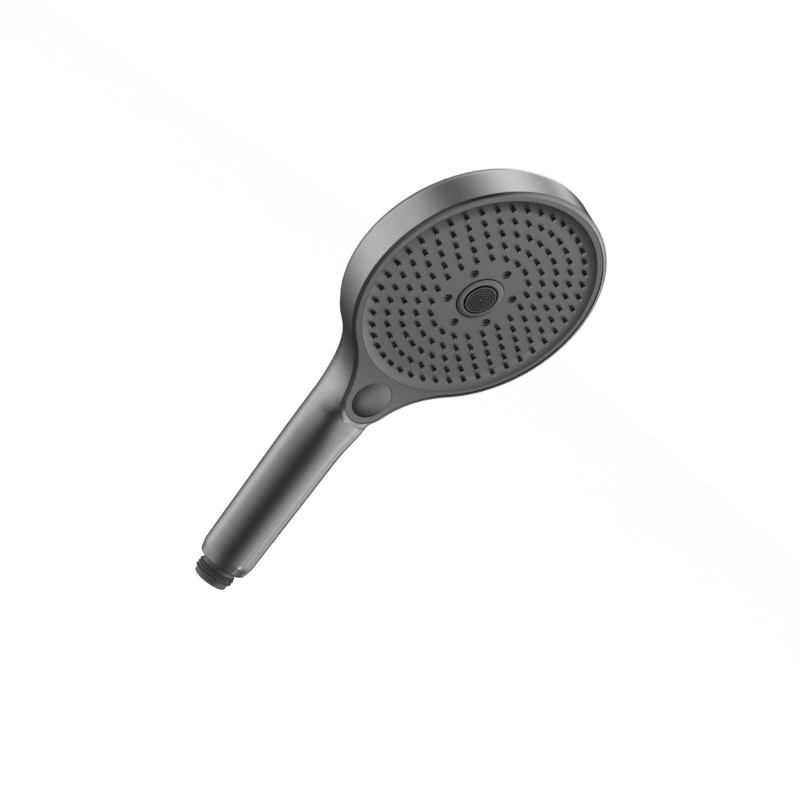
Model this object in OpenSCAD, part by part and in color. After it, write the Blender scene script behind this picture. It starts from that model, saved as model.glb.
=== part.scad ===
// Handheld shower head with a round spray face, a thumb button on the neck and a G1/2 inlet.
// Millimetres. Origin at the centre of the inlet's end face, +Z along the handle towards the head,
// spray face towards -Y. The head pieces are drawn face-up and placed by on_face().

/* [Head] */
// Diameter over the lip of the head
head_d = 130.2; // [124:0.5:136]
// Depth of the head at its top, from the spray plane to the back edge
head_depth = 20.4; // [19.5:0.1:21.5]
// How much deeper the head grows per millimetre down the face
back_slope = 0.023; // [0.015:0.001:0.03]
// How far the back domes beyond the back edge
back_dome = 6; // [5:0.5:8]
// Radius of the back edge
back_round = 6.5; // [5:0.5:7]
// Wall of the shell
wall = 2.1; // [1.8:0.1:2.3]
// Tilt of the spray face against the handle
head_tilt = 15.8; // [15:0.2:17]
// Distance of the spray plane from the handle's axis, on the face's own axis
axis_depth = 36.1; // [35.5:0.1:36.7]
// Height of the face centre above the inlet's end
face_height = 198.6; // [190:1:210]

/* [Neck] */
// Distance of the button's centre outside the head's edge
button_drop = 9.9; // [9.5:0.1:12]
// Radius of the neck's round tip, over the lip
tip_r = 16.4; // [16:0.1:17]
// Radius of the hollow curve between head and tip
neck_fillet = 58; // [50:1:66]
// How far the neck surface rises at the tip
neck_rise = 3.2; // [2.8:0.1:4]
// How square the neck's face side is: 0 is round
neck_square = 1; // [0.4:0.1:1.2]
// Length over which the square face side fades into the round handle
square_len = 22; // [16:1:28]

/* [Handle] */
// Diameter of the handle just above its end taper
grip_low_d = 29.1; // [28.6:0.1:29.8]
// Diameter of the handle below the neck
grip_top_d = 31.3; // [30.6:0.1:31.8]
// Diameter of the handle's lower end
grip_end_d = 26.3; // [26:0.1:26.8]
// Length of the end taper
taper_len = 5.9; // [5:0.1:8]
// Radius of the rounding at the lower end
end_round = 0.8; // [0.4:0.1:1]

/* [Spray] */
// Rings of nozzles
ring_count = 5; // [4:1:5]
// Nozzles in the inner ring
inner_ring_nozzles = 20; // [16:2:22]
// Nozzles that each further ring gains
ring_gain = 6; // [4:1:6]
// Radius of the inner ring
inner_ring_r = 25; // [24.8:0.1:25.4]
// Distance of the outer ring from the edge of the dished plate
outer_ring_in = 6; // [5.8:0.1:7]
// Diameter of a nozzle where it leaves the plate
nozzle_d = 2.6; // [2.2:0.1:2.8]
// Diameter of a nozzle's tip
nozzle_tip_d = 2.1; // [1.8:0.1:2.2]
// Height of a nozzle above the plate
nozzle_h = 2.5; // [2:0.1:3]
// Bore of a nozzle at its tip
nozzle_bore_d = 0.6; // [0.5:0.1:0.8]
// Number of pulse jets
jet_count = 6; // [4:1:6]
// Radius of the pulse jets' circle
jet_circle_r = 17.5; // [17.3:0.1:17.7]
// Diameter of a pulse jet
jet_d = 4.8; // [4.4:0.1:5]
// Diameter of the centre insert
insert_d = 24.6; // [24:0.1:25]
// Diameter of the fine screen
screen_d = 16.4; // [16:0.1:16.8]
// Height of the rim around the dished spray plate
dish_rise = 1.6; // [1.2:0.1:2]

/* [Button] */
// Diameter of the thumb button
button_d = 21.4; // [21:0.1:22]
// Height of the button's domed top above its edge
button_crown = 1.9; // [1.5:0.1:2.2]
// Travel of the button
button_travel = 2.5; // [2:0.1:2.6]
// Turn of the drive sleeve over one full press, in degrees
press_turn = 60; // [60:1:60]

/* [Inlet] */
// Outer diameter of the inlet thread, G1/2
thread_d = 20.955; // [20.755:0.05:20.955]
// Pitch of the inlet thread
thread_pitch = 1.814; // [1.7:0.002:1.9]
// Length of the plain pilot below the thread
pilot_len = 2.1; // [1.8:0.1:2.4]
// Bore of the inlet
inlet_bore_d = 15; // [14:0.2:15.4]
// Length of the inlet that stands out of the handle
inlet_len = 10.8; // [10.6:0.1:11.6]
// Outer diameter of the water tube
tube_d = 12; // [11.4:0.2:12.6]
// Wall of the water tube
tube_wall = 1.8; // [1.6:0.1:2]

/* [Fits] */
// Radial clearance of a running fit
run_gap = 0.06; // [0.04:0.01:0.08]
// Gap around pieces that only sit in place
seat_gap = 0.1; // [0.05:0.01:0.15]

/* [Hidden] */

$fn = 96;
eps = 0.01;
tilt_slope = tan(head_tilt);
plated = [0.44, 0.44, 0.45];
face_grey = [0.42, 0.42, 0.42];
rubber_dark = [0.13, 0.13, 0.14];
moulded_grey = [0.33, 0.33, 0.34];
moulded_pale = [0.78, 0.78, 0.76];
acetal = [0.86, 0.86, 0.83];
seal_black = [0.08, 0.08, 0.08];
steel = [0.7, 0.71, 0.72];

head_r = head_d / 2;
button_offset = head_r + button_drop;         // from the face centre to the button centre
lip_drop = 1;                                 // how far the lip falls from the bezel to its outer edge
lip_z = 1.2;                                  // outer edge of the lip above the spray plane
rim_z = lip_z + lip_drop;                     // inner edge of the lip
face_top = dish_rise;                         // flat ring of the bezel
rise_from = head_r - 10;                      // the neck starts to rise this far below the centre
rise_power = 2.5;
metal_end = inlet_len;                        // height of the handle's lower end
taper_top = metal_end + taper_len;
grip_growth = 72;                             // length over which the handle widens

// ---------------------------------------------------------------- helpers
function mix(a, b, t) = a + (b - a) * t;
function clamp01(t) = min(1, max(0, t));
function smooth(a, b, v) = let (t = clamp01((v - a) / (b - a))) t * t * (3 - 2 * t);

// from the face's own axes (x right, y up the face, z out of it) to the part's frame
module on_face() {
    translate([0, -axis_depth * cos(head_tilt), face_height])
        rotate([90 + head_tilt, 0, 0]) children();
}
// from the face's axes back to the handle's axes, for pieces that follow the handle
module along_handle() {
    rotate([-90 - head_tilt, 0, 0]) translate([0, axis_depth * cos(head_tilt), -face_height]) children();
}
module ring(r_out, r_in, z0, z1) {
    translate([0, 0, z0]) difference() {
        cylinder(r = r_out, h = z1 - z0);
        translate([0, 0, -1]) cylinder(r = r_in, h = z1 - z0 + 2);
    }
}
module disc(r, z0, z1) { translate([0, 0, z0]) cylinder(r = r, h = z1 - z0); }

// ---------------------------------------------------------------- outline of the face
// Three tangent arcs: head circle, hollow curve, round tip. An inset keeps their centres.
reach_head = head_r + neck_fillet;
reach_tip = tip_r + neck_fillet;
hollow_y = -(reach_head * reach_head - reach_tip * reach_tip + button_offset * button_offset)
    / (2 * button_offset);
hollow_x = sqrt(reach_head * reach_head - hollow_y * hollow_y);
head_angle = atan2(hollow_y, hollow_x);
tip_angle = atan2(hollow_y + button_offset, hollow_x);

head_steps = 24;
hollow_steps = 9;
tip_steps = 10;
first_angle = 88.6;
last_angle = -86;
LIP = concat(
    [for (k = [0 : head_steps]) [0, mix(first_angle, head_angle, k / head_steps)]],
    [for (k = [1 : hollow_steps]) [1, mix(head_angle, tip_angle, k / hollow_steps) + 180]],
    [for (k = [1 : tip_steps]) [2, mix(tip_angle, last_angle, k / tip_steps)]]);
function lip_point(s, inset) =
    s[0] == 0 ? (head_r - inset) * [cos(s[1]), sin(s[1])] :
    s[0] == 1 ? [hollow_x, hollow_y] + (neck_fillet + inset) * [cos(s[1]), sin(s[1])] :
    [0, -button_offset] + (tip_r - inset) * [cos(s[1]), sin(s[1])];
module face_outline(inset) {
    half = concat([[0, head_r - inset]], [for (s = LIP) lip_point(s, inset)],
        [[0, -button_offset - tip_r + inset]]);
    mirrored = [for (k = [len(half) - 2 : -1 : 1]) [-half[k][0], half[k][1]]];
    polygon(concat(half, mirrored));
}

function rise(y) = y > -rise_from ? 0
    : neck_rise * pow((-rise_from - y) / (button_offset + tip_r - wall - rise_from), rise_power);

// ---------------------------------------------------------------- surface of the shell
// The handle's axis and radius, by place along the face's y
function axis_z(y) = -axis_depth - y * tilt_slope;
function height_on_axis(y) = face_height + axis_depth * sin(head_tilt) + y / cos(head_tilt);
function y_at_height(h) = (h - face_height - axis_depth * sin(head_tilt)) * cos(head_tilt);
function grip_r(h) = h < taper_top
    ? mix(grip_end_d, grip_low_d, (h - metal_end) / taper_len) / 2 - end_step(h)
    : mix(grip_low_d, grip_top_d, min(1, (h - taper_top) / grip_growth)) / 2;

function end_step(h) = let (u = clamp01((metal_end + end_round - h) / end_round))
    end_round * (1 - sqrt(1 - u * u));

// Profile of the head from the lip over the back edge to the dome
edge_turn = 90 - atan(2 * back_dome / (head_r - back_round + 1));
round_centre_r = head_r - back_round;
function edge_r(inset) = round_centre_r + (back_round - inset) * cos(edge_turn);
function depth_at(y) = head_depth + back_slope * (head_r - y);
function edge_z(inset, y) = back_round - depth_at(y) - (back_round - inset) * sin(edge_turn);
function dome_z(r, inset, y) = let (e = edge_r(inset))
    edge_z(inset, y) - back_dome * (1 - pow(min(r, e) / e, 2));
edge_weight = 4;
dome_weight = 0.3;
function side_len(y, z0) = z0 + depth_at(y) - back_round;
function edge_len(inset, y) = (back_round - inset) * edge_weight * PI / 180
    * (abs(y) < edge_r(inset) ? edge_turn
        : acos(min(1, (abs(y) - round_centre_r) / (back_round - inset))));
function profile_len(inset, y, z0) = side_len(y, z0) + edge_len(inset, y)
    + max(0, edge_r(inset) - abs(y)) * dome_weight;
function profile(v, inset, y, z0) =
    let (a = side_len(y, z0), b = edge_len(inset, y))
    v < a ? [head_r - inset, z0 - v] :
    v < a + b + eps / 10 ?
        let (turn = (v - a) / (back_round - inset) / edge_weight * 180 / PI)
        [round_centre_r + (back_round - inset) * cos(turn),
            back_round - depth_at(y) - (back_round - inset) * sin(turn)] :
    let (r = edge_r(inset) - (v - a - b) / dome_weight) [r, dome_z(r, inset, y)];

half_steps = 17;                              // points from the lip round to the middle of the back
freeze_y = -button_offset + 35;               // below this the section is stretched, not sliced
function slice(y, inset, z0) = let (total = profile_len(inset, y, z0))
    [for (j = [0 : half_steps]) let (p = profile(total * j / half_steps, inset, y, z0))
        [j == half_steps ? 0 : sqrt(max(0, p[0] * p[0] - y * y)), p[1]]];

morph_from = -button_offset + 26;             // the side rounds out over this stretch
morph_to = -button_offset - 19;
back_from = -button_offset + 33;              // the back meets the handle over this stretch
back_to = -button_offset - 17;
lean_from = -button_offset + 30;              // the sections turn square to the handle
lean_to = -button_offset - 20;
flare_share = 0.5;                            // share of the side over which the lip flares out
flush_share = 0.65;                           // share of the tip beyond which the lip turns flush
neck_sink = 0.4;                              // the lip lies lower round the neck
sink_from = -head_r + 15;
sink_to = -head_r - 5;
function head_section(y, w, z0, zb, inset) =
    let (base = slice(freeze_y, inset, z0), wb = base[0][0], zl = base[half_steps][1])
    [for (p = base) [w * p[0] / wb, z0 + (zb - z0) * (p[1] - z0) / (zl - z0)]];
// A circle whose face side is squared a little: 2 is round, 3 is squarer
function squared(a, p) = a <= 0 ? 1 : pow(pow(abs(cos(a)), p) + pow(sin(a), p), -1 / p);
function square_power(h) = 2 + neck_square * pow(clamp01(1 + (h - tip_height) / square_len), 2);
function round_section(w, z0, zc, r, b, p) =
    let (ax = w / r, az = (z0 - zc) / b, start = atan2(az, ax),
        grow = norm([ax, az]) / squared(start, p))
    [for (j = [0 : half_steps])
        let (u = j / half_steps, a = mix(start, -90, u),
            g = squared(a, p) * (1 + (grow - 1) * pow(max(0, 1 - u / flare_share), 2.2)))
        [j == half_steps ? 0 : r * g * cos(a), zc + b * g * sin(a)]];

// One open section of the shell, from its lip point round to the back
function open_section(s, inset) =
    let (lp = lip_point(s, inset), w = lp[0], y = lp[1],
        lean = tilt_slope * (1 - smooth(lean_to, lean_from, y)),
        tip_share = 1 - smooth(-button_offset - tip_r, -button_offset - tip_r * flush_share, y),
        flat_z = (inset > 0 ? rim_z : lip_z) - neck_sink * (1 - smooth(sink_to, sink_from, y)) + rise(y),
        zc0 = (-axis_depth - tilt_slope * (y - lean * flat_z)) / (1 + tilt_slope * lean),
        yc = y + lean * (zc0 - flat_z),
        r = grip_r(height_on_axis(yc)) - inset,
        b = r / (cos(head_tilt) + lean * sin(head_tilt)),
        z0 = inset > 0 ? flat_z : mix(flat_z, zc0 + b, tip_share),
        m = 1 - smooth(morph_to, morph_from, y),
        zb = mix(dome_z(abs(y), inset, y), zc0 - b, 1 - smooth(back_to, back_from, y)),
        flat = y > freeze_y ? slice(y, inset, z0) : head_section(y, w, z0, zb, inset),
        round = round_section(w, z0, zc0, r, b, 2 + neck_square))
    [for (j = [0 : half_steps]) let (q = y > freeze_y ? flat[j] : mix(flat[j], round[j], m))
        [q[0], y + lean * (q[1] - z0), q[1]]];

// One closed section of the handle, where the face side of the axis is at height h
function closed_section(h, inset) =
    let (yc = y_at_height(h), zc = axis_z(yc), r = grip_r(h) - inset, b = r * cos(head_tilt),
        p = square_power(h))
    [for (j = [0 : half_steps]) let (a = mix(-last_angle, -90, j / half_steps), g = squared(a, p))
        [j == half_steps ? 0 : r * g * cos(a), yc + tilt_slope * b * g * sin(a),
            zc + b * g * sin(a)]];

tip_y = -button_offset - tip_r - 1.2;
tip_height = height_on_axis(tip_y - grip_top_d / 2 * sin(head_tilt));
HEIGHTS = concat([for (t = [0, 0.04, 0.1, 0.2, 0.4, 0.7]) mix(tip_height, taper_top, t)],
    [taper_top, for (u = [0, 0.4, 0.75, 1]) metal_end + end_round * (1 - u)]);

function both_sides(half) = concat(half,
    [for (j = [half_steps - 1 : -1 : 0]) [-half[j][0], half[j][1], half[j][2]]]);
function skin(inset) = concat(
    [for (s = LIP) both_sides(open_section(s, inset))],
    [for (h = HEIGHTS) both_sides(closed_section(h, inset))]);

module shell_skin() {
    per = 2 * half_steps + 1;
    opened = len(LIP);
    rows = opened + len(HEIGHTS);
    inner = rows * per;
    pts = [for (sect = concat(skin(0), skin(wall))) for (p = sect) p];
    faces = concat(
        [for (i = [0 : rows - 2]) for (j = [0 : per - 2]) let (a = i * per + j)
            [a, a + 1, a + per + 1, a + per]],
        [for (i = [0 : rows - 2]) for (j = [0 : per - 2]) let (a = inner + i * per + j)
            [a + per, a + per + 1, a + 1, a]],
        [for (i = [opened - 1 : rows - 2]) let (a = i * per, b = a + per - 1)
            [b, a, a + per, b + per]],
        [for (i = [opened - 1 : rows - 2]) let (a = inner + i * per, b = a + per - 1)
            [b + per, a + per, a, b]],
        [for (i = [0 : opened - 2]) let (a = i * per) [a, a + per, inner + a + per, inner + a]],
        [for (i = [0 : opened - 2]) let (a = i * per + per - 1)
            [a, inner + a, inner + a + per, a + per]],
        [let (a = (opened - 1) * per, b = a + per - 1) [a, b, inner + b, inner + a]],
        [for (j = [0 : half_steps - 1]) [j + 1, j, per - 1 - j, per - 2 - j]],
        [for (j = [0 : half_steps - 1])
            [inner + j, inner + j + 1, inner + per - 2 - j, inner + per - 1 - j]],
        [[0, inner, inner + per - 1, per - 1]],
        [for (j = [0 : per - 2]) let (a = (rows - 1) * per + j)
            [a, a + 1, inner + a + 1, inner + a]],
        [let (a = (rows - 1) * per, b = a + per - 1) [b, a, inner + a, inner + b]]);
    polyhedron(points = pts, faces = faces, convexity = 6);
}

// ---------------------------------------------------------------- derived places in the head
bezel_in = wall + seat_gap;                   // inset of the bezel's edge from the lip
rim_width = 3;                                // flat ring around the dished plate
plate_r = head_r - wall - rim_width;
plate_t = 2;                                  // thickness of the spray plate
mat_t = 1.2;                                  // thickness of the silicone mat
mat_z = -plate_t - mat_t;                     // back of the mat, top of the chamber walls
last_ring_r = plate_r - outer_ring_in;
ring_pitch = (last_ring_r - inner_ring_r) / (ring_count - 1);
chamber_r = plate_r - 1.6;
chamber_wall = 2.5;
chamber_depth = 4.9;                          // inside, from the mat to the chamber floor
floor_t = 1.5;
floor_top = mat_z - chamber_depth;
floor_z = floor_top - floor_t;                // back of the chamber floor
jet_zone_out = jet_circle_r + 3.4;            // inner face of the rib between jets and rings
rib_w = 1.5;
jet_zone_in = jet_circle_r - 3.3;             // journal of the turbine
insert_r = insert_d / 2;
screen_r = screen_d / 2;
ledge_w = 1.1;
ear_x = 19;
ear_y = -(head_r - 5.6);
ear_r = 3.2;
screw_r = 1.15;
screw_len = 9;
tab_w = 10;
button_r = button_d / 2;
guide_wall = 1.1;

// waterways
drum_r = 9.5;
drum_wall = 1.5;
housing_r = drum_r + run_gap + 1.6;
lid_top = -6.5;
lid_t = 1.5;
drum_top = lid_top - lid_t - 0.1;
drum_floor = -19.3;
drum_plate = 1.4;
way_r = 2.2;
way_z = -15.8;
way_x = 7.4;
arm_half = way_x + way_r + 0.7;
arm_top = way_z + way_r + 1.6;
arm_bottom = way_z - way_r - 1.5;
arm_from = drum_r - 3;                        // the arm starts inside the housing
arm_end = 1.5;
riser_r = 3.4;
riser_bore = 2;
rain_port = [0, -(last_ring_r - 9)];
jet_port = [-way_x, -sqrt(jet_circle_r * jet_circle_r - way_x * way_x)];
mist_port = [way_x, -5];
PORTS = [rain_port, jet_port, mist_port];
port_seal_t = 0.8;
plug_len = 3;
window_turn = 26;
spindle_r = 5;
spindle_bore = 4;
spindle_top = lid_top + 1;
spindle_blind = -14.2;
ratchet_teeth = 12;
ratchet_r = 7.8;
stem_r = 1.9;
stem_end = -11.1;
lug_r = 2.9;
lug_w = 1.4;
sleeve_top = spindle_top + 0.1;
sleeve_bottom = -12.2;
twist_rate = press_turn / button_travel;      // degrees the lugs turn per millimetre
strip_t = 0.3;                                // flat strip of the return spring
strip_w = 1.1;
button_wall = 1.2;
spring_r = button_r - button_wall - 0.2 - strip_w / 2;
under_button = -1.7;
skirt_z = -2.6;

// along the handle
tube_r = tube_d / 2;
tube_bore = tube_r - tube_wall;
socket_len = 12;
socket_wall = 2.2;
inlet_way_r = 2.9;                            // passage from the socket into the housing
inlet_z = lid_top - lid_t - inlet_way_r - 1.5;
socket_top = height_on_axis(-button_offset - housing_r - 6.6);
tube_top = socket_top - 2;
ring_wire = 0.5;
ring_seat = tube_r - 2 * ring_wire - 0.04;
thread_r = thread_d / 2;
thread_core = thread_r - 0.64 * thread_pitch;
pilot_r = 9.3;
ridge_count = 3;
thread_start = pilot_len + 0.3;
inlet_bore = inlet_bore_d / 2;
bore_depth = 15;
collar_r = grip_end_d / 2 - wall + 0.35;
collar_low = metal_end + 2.1;
collar_top = collar_low + 5;
land_t = 1.8;                                 // land in the shell that stops the collar
socket_low = 22;
connector_top = socket_low + socket_len;
body_r = tube_r + socket_wall;

// ---------------------------------------------------------------- shell
module screw_places() { for (side = [-1, 1]) translate([side * ear_x, ear_y, 0]) children(); }
module rear_shell() {
    color(plated) difference() {
        on_face() difference() {
            union() {
                shell_skin();
                along_handle() ring(grip_r(collar_top) - wall + 0.6, body_r + 0.4, collar_top, collar_top + land_t);
                screw_places() disc(ear_r, -depth_at(ear_y) - 1.2, floor_z);
                translate([-tab_w / 2 - 1, plate_r - 2, floor_z - 2.4])
                    cube([tab_w + 2, head_r - wall / 2 - plate_r + 1.6, 2.4]);
            }
            screw_places() disc(screw_r, floor_z - screw_len, floor_z + 1);
        }
        disc(collar_r + seat_gap, metal_end - 1, collar_top + 0.05);
        disc(collar_r + 0.8, metal_end + 0.8, collar_low);
    }
}

// ---------------------------------------------------------------- face
dish_from = last_ring_r - 2.5;                // the plate curves up outside this radius
surface_steps = 24;
// Slab under the neck surface, with its top lowered by drop
module neck_slab(drop, thick) {
    tip = -head_r - 45;
    top = [for (k = [0 : surface_steps]) let (y = mix(tip, -rise_from, k / surface_steps))
        [y, face_top + rise(y) - drop]];
    bottom = [for (k = [surface_steps : -1 : 0]) let (y = mix(tip, -rise_from, k / surface_steps))
        [y, face_top + rise(y) - drop - thick]];
    edge = concat(top, [[head_r + 5, face_top - drop], [head_r + 5, face_top - drop - thick]], bottom);
    rotate([90, 0, 90]) translate([0, 0, -head_r - 5]) linear_extrude(2 * head_r + 10) polygon(edge);
}
module front_bezel() {
    skirt_low = floor_top + 0.1;
    color(face_grey) on_face() difference() {
        union() {
            intersection() {
                translate([0, 0, -10]) linear_extrude(20) face_outline(bezel_in);
                neck_slab(0, 2.2);
            }
            difference() {
                ring(head_r - bezel_in - 0.1, plate_r + 0.4, skirt_low, face_top - 1);
                translate([-head_r, -2 * head_r - 40, -20]) cube([2 * head_r, 2 * head_r, 40]);
            }
            ring(plate_r + 1.2, chamber_r + seat_gap, mat_z - 1.4, mat_z);
            intersection() {
                at_button() disc(button_r + run_gap + guide_wall, -5.2, 8);
                neck_slab(1, 14);
            }
        }
        disc(plate_r + seat_gap, mat_z, 10);
        disc(chamber_r + seat_gap, -20, 10);
        at_button() disc(button_r + run_gap, -20, 20);
    }
}

function ring_r(k) = inner_ring_r + k * ring_pitch;
function ring_n(k) = inner_ring_nozzles + k * ring_gain;
module nozzle_places() {
    for (k = [0 : ring_count - 1]) for (i = [0 : ring_n(k) - 1])
        rotate([0, 0, 90 + 360 * i / ring_n(k)]) translate([ring_r(k), 0, 0]) children();
}
module jet_places() {
    for (i = [0 : jet_count - 1])
        rotate([0, 0, 90 + 360 * i / jet_count]) translate([jet_circle_r, 0, 0]) children();
}
module spray_plate() {
    dish = [for (k = [0 : 8]) let (u = k / 8)
        [mix(dish_from, plate_r, u), dish_rise * u * u]];
    color(face_grey) on_face() difference() {
        rotate_extrude() polygon(concat([[insert_r + seat_gap, -plate_t], [insert_r + seat_gap, 0]],
            dish, [[plate_r, mat_z], [chamber_r + seat_gap, mat_z], [chamber_r + seat_gap, -plate_t]]));
        nozzle_places() translate([0, 0, -10]) cylinder(r = nozzle_d / 2 + 0.05, h = 20, $fn = 24);
        jet_places() translate([0, 0, -10]) cylinder(r = jet_d / 2 + 0.05, h = 20, $fn = 32);
    }
}
module nozzle_mat() {
    color(rubber_dark) on_face() difference() {
        union() {
            disc(chamber_r, mat_z, -plate_t);
            nozzle_places() translate([0, 0, mat_z + 0.2])
                cylinder(r1 = nozzle_d / 2, r2 = nozzle_tip_d / 2, h = nozzle_h - mat_z - 0.2, $fn = 24);
        }
        disc(jet_zone_out + 0.4, mat_z - 1, 0);
        nozzle_places() translate([0, 0, mat_z - 1]) {
            cylinder(r = 0.75, h = plate_t + mat_t + 1, $fn = 20);
            cylinder(r = nozzle_bore_d / 2, h = 10, $fn = 16);
        }
    }
}
module jet_ring() {
    cup_top = -0.3;
    color(face_grey) on_face() difference() {
        union() {
            ring(jet_zone_out + 0.3, jet_zone_in - 0.8, mat_z, -plate_t);
            jet_places() disc(jet_d / 2, mat_z + 0.2, cup_top);
        }
        jet_places() {
            ring(jet_d / 2 - 0.55, jet_d / 4, cup_top - 1, 1);
            disc(jet_d / 4 + 0.1, cup_top - 0.5, 1);
            disc(jet_d / 8, mat_z - 1, 1);
        }
    }
}
insert_top = 0.85;                            // inner edge of the insert's raised crown
crown_fall = 0.6;                             // how far the crown falls to its outer edge
screen_seat = -0.4;                           // ledge that the screen stands on
well_r = screen_r + 0.7;                      // opening around the screen
module centre_insert() {
    crown = [for (k = [0 : 6]) let (u = k / 6)
        [mix(insert_r, well_r + 0.1, u), insert_top - crown_fall * (1 - u) * (1 - u)]];
    color(face_grey) on_face() rotate_extrude() polygon(concat([[insert_r, mat_z]], crown,
        [[well_r, insert_top - 0.1], [well_r, screen_seat],
        [screen_r - ledge_w, screen_seat], [screen_r - ledge_w, mat_z]]));
}
screen_top = 1.15;
screen_t = 0.6;
screen_rings = 5;
pore_r = 0.38;
module spray_screen() {
    pitch = (screen_r - 1.55) / screen_rings;
    color(rubber_dark) on_face() {
        difference() {
            disc(screen_r, screen_top - screen_t, screen_top);
            for (k = [1 : screen_rings]) for (i = [0 : 6 * k])
                rotate([0, 0, 360 * i / (6 * k + 1)]) translate([k * pitch, 0, 0])
                    cylinder(r = pore_r, h = 3, $fn = 16);
        }
        ring(screen_r, screen_r - ledge_w + 0.1, screen_seat, screen_top - screen_t + 0.1);
    }
}

// ---------------------------------------------------------------- chambers and turbine
module chamber_body() {
    color(moulded_grey) on_face() difference() {
        union() {
            disc(chamber_r, floor_z, floor_top);
            ring(chamber_r, chamber_r - chamber_wall, floor_z, mat_z);
            ring(jet_zone_out + rib_w, jet_zone_out, floor_z, mat_z);
            ring(jet_zone_in, insert_r, floor_z, mat_z);
            screw_places() disc(ear_r, floor_z, floor_top);
            for (side = [-1, 1]) translate([side * ear_x - 2.5, ear_y, floor_z]) cube([5, 9, floor_t]);
            translate([-tab_w / 2, chamber_r - 3, floor_z]) cube([tab_w, plate_r + 1.6 - chamber_r + 3, floor_t]);
        }
        for (port = PORTS) translate(port) disc(riser_bore, floor_z - 1, floor_top + 1);
        screw_places() disc(screw_r + 0.45, floor_z - 1, floor_top + 1);
        ring(chamber_r + 1, chamber_r - 1.5, mat_z - 1.5, mat_z - 0.1);
    }
}
module chamber_seal() {
    wire = 0.6;
    color(seal_black) on_face() translate([0, 0, mat_z - 0.8]) rotate_extrude()
        translate([chamber_r - 1.5 + wire, 0]) circle(r = wire, $fn = 24);
}
blade_count = 12;
module turbine() {
    hub_top = mat_z - 0.15;
    shutter = mat_z - 1.2;
    low = floor_top + 0.2;
    tip = jet_zone_out - 0.4;
    hub = jet_zone_in + run_gap;
    color(acetal) on_face() {
        ring(hub + 0.9, hub, low, hub_top);
        intersection() {
            ring(tip, hub + 0.5, shutter - 0.6, shutter);
            translate([-2 * tip, 0, shutter - 1]) cube([4 * tip, 2 * tip, 2]);
        }
        for (i = [0 : blade_count - 1]) rotate([0, 0, 360 * (i + 0.5) / blade_count])
            translate([hub + 0.5, -0.4, low]) cube([tip - hub - 0.6, 0.8, shutter - 0.6 - low]);
    }
}

// ---------------------------------------------------------------- waterways and selector
module at_button() { translate([0, -button_offset, 0]) children(); }
module valve_body() {
    color(moulded_grey) on_face() difference() {
        union() {
            at_button() disc(housing_r, drum_floor - 1.7, lid_top - lid_t);
            translate([-arm_half, arm_from - button_offset, arm_bottom])
                cube([2 * arm_half, button_offset - arm_from + arm_end, arm_top - arm_bottom]);
            for (port = PORTS) translate(port) disc(riser_r, arm_top - 1, floor_z);
            along_handle() disc(body_r, tube_top - socket_len, socket_top);
            translate([0, -button_offset - housing_r - 11, inlet_z]) rotate([-90, 0, 0])
                cylinder(r = inlet_way_r + 1.4, h = 12);
        }
        at_button() disc(drum_r + run_gap, drum_floor - 0.1, lid_top + 1);
        for (k = [-1 : 1]) translate([k * way_x, -button_offset + 2, way_z]) rotate([-90, 0, 0])
            cylinder(r = way_r, h = button_offset + arm_end);
        for (port = PORTS) translate(port) {
            disc(riser_bore, way_z, floor_z + 1);
            disc(riser_r - 0.6, floor_z - port_seal_t, floor_z + 1);
        }
        along_handle() disc(tube_r + run_gap, tube_top - socket_len - 1, tube_top);
        translate([0, -button_offset - housing_r - 10, inlet_z]) rotate([-90, 0, 0])
            cylinder(r = inlet_way_r, h = 10.5 + housing_r - drum_r);
    }
}
module waterway_plugs() {
    ends = [jet_port[1], rain_port[1], mist_port[1]];
    color(moulded_pale) on_face() for (k = [0 : 2])
        translate([(k - 1) * way_x, ends[k] + way_r + 0.1, way_z]) rotate([-90, 0, 0])
            cylinder(r = way_r, h = min(plug_len, arm_end - ends[k] - way_r - 0.1));
}
module port_seals() {
    color(seal_black) on_face() for (port = PORTS) translate(port)
        ring(riser_r - 0.65, riser_bore, floor_z - port_seal_t, floor_z);
}
// A sector of a ring, centred on angle a
module sector(r, a, turn, z0, z1) {
    rotate([0, 0, a]) translate([0, 0, z0]) linear_extrude(z1 - z0)
        polygon([[0, 0], [2 * r * cos(turn / 2), -2 * r * sin(turn / 2)],
            [2 * r * cos(turn / 2), 2 * r * sin(turn / 2)]]);
}
module valve_drum() {
    color(acetal) on_face() at_button() difference() {
        union() {
            difference() {
                disc(drum_r, drum_floor, drum_top);
                disc(drum_r - drum_wall, drum_floor + drum_plate, drum_top - drum_plate);
                for (a = [90, 270]) difference() {
                    sector(drum_r, a, window_turn, way_z - way_r + 0.2, way_z + way_r);
                    disc(drum_r - drum_wall - 0.5, -30, 0);
                }
                for (a = [30 : 60 : 330]) difference() {
                    sector(drum_r, a, 42, way_z + way_r + 0.9, drum_top - drum_plate - 0.4);
                    disc(drum_r - drum_wall - 0.5, -30, 0);
                }
            }
            disc(spindle_r, spindle_blind - 1, spindle_top);
        }
        disc(spindle_bore, spindle_blind, 1);
    }
}
module ratchet_ring() {
    color(acetal) on_face() at_button() difference() {
        disc(ratchet_r, lid_top + 0.1, sleeve_top + 0.9);
        disc(spindle_r + 0.01, -10, 1);
        translate([0, 0, spindle_top]) linear_extrude(5) polygon([for (i = [0 : 2 * ratchet_teeth - 1])
            let (r = i % 2 == 0 ? ratchet_r - 0.9 : ratchet_r - 1.6,
                a = 360 * (i % 2 == 0 ? i : i - 0.7) / 2 / ratchet_teeth) [r * cos(a), r * sin(a)]]);
    }
}
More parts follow.
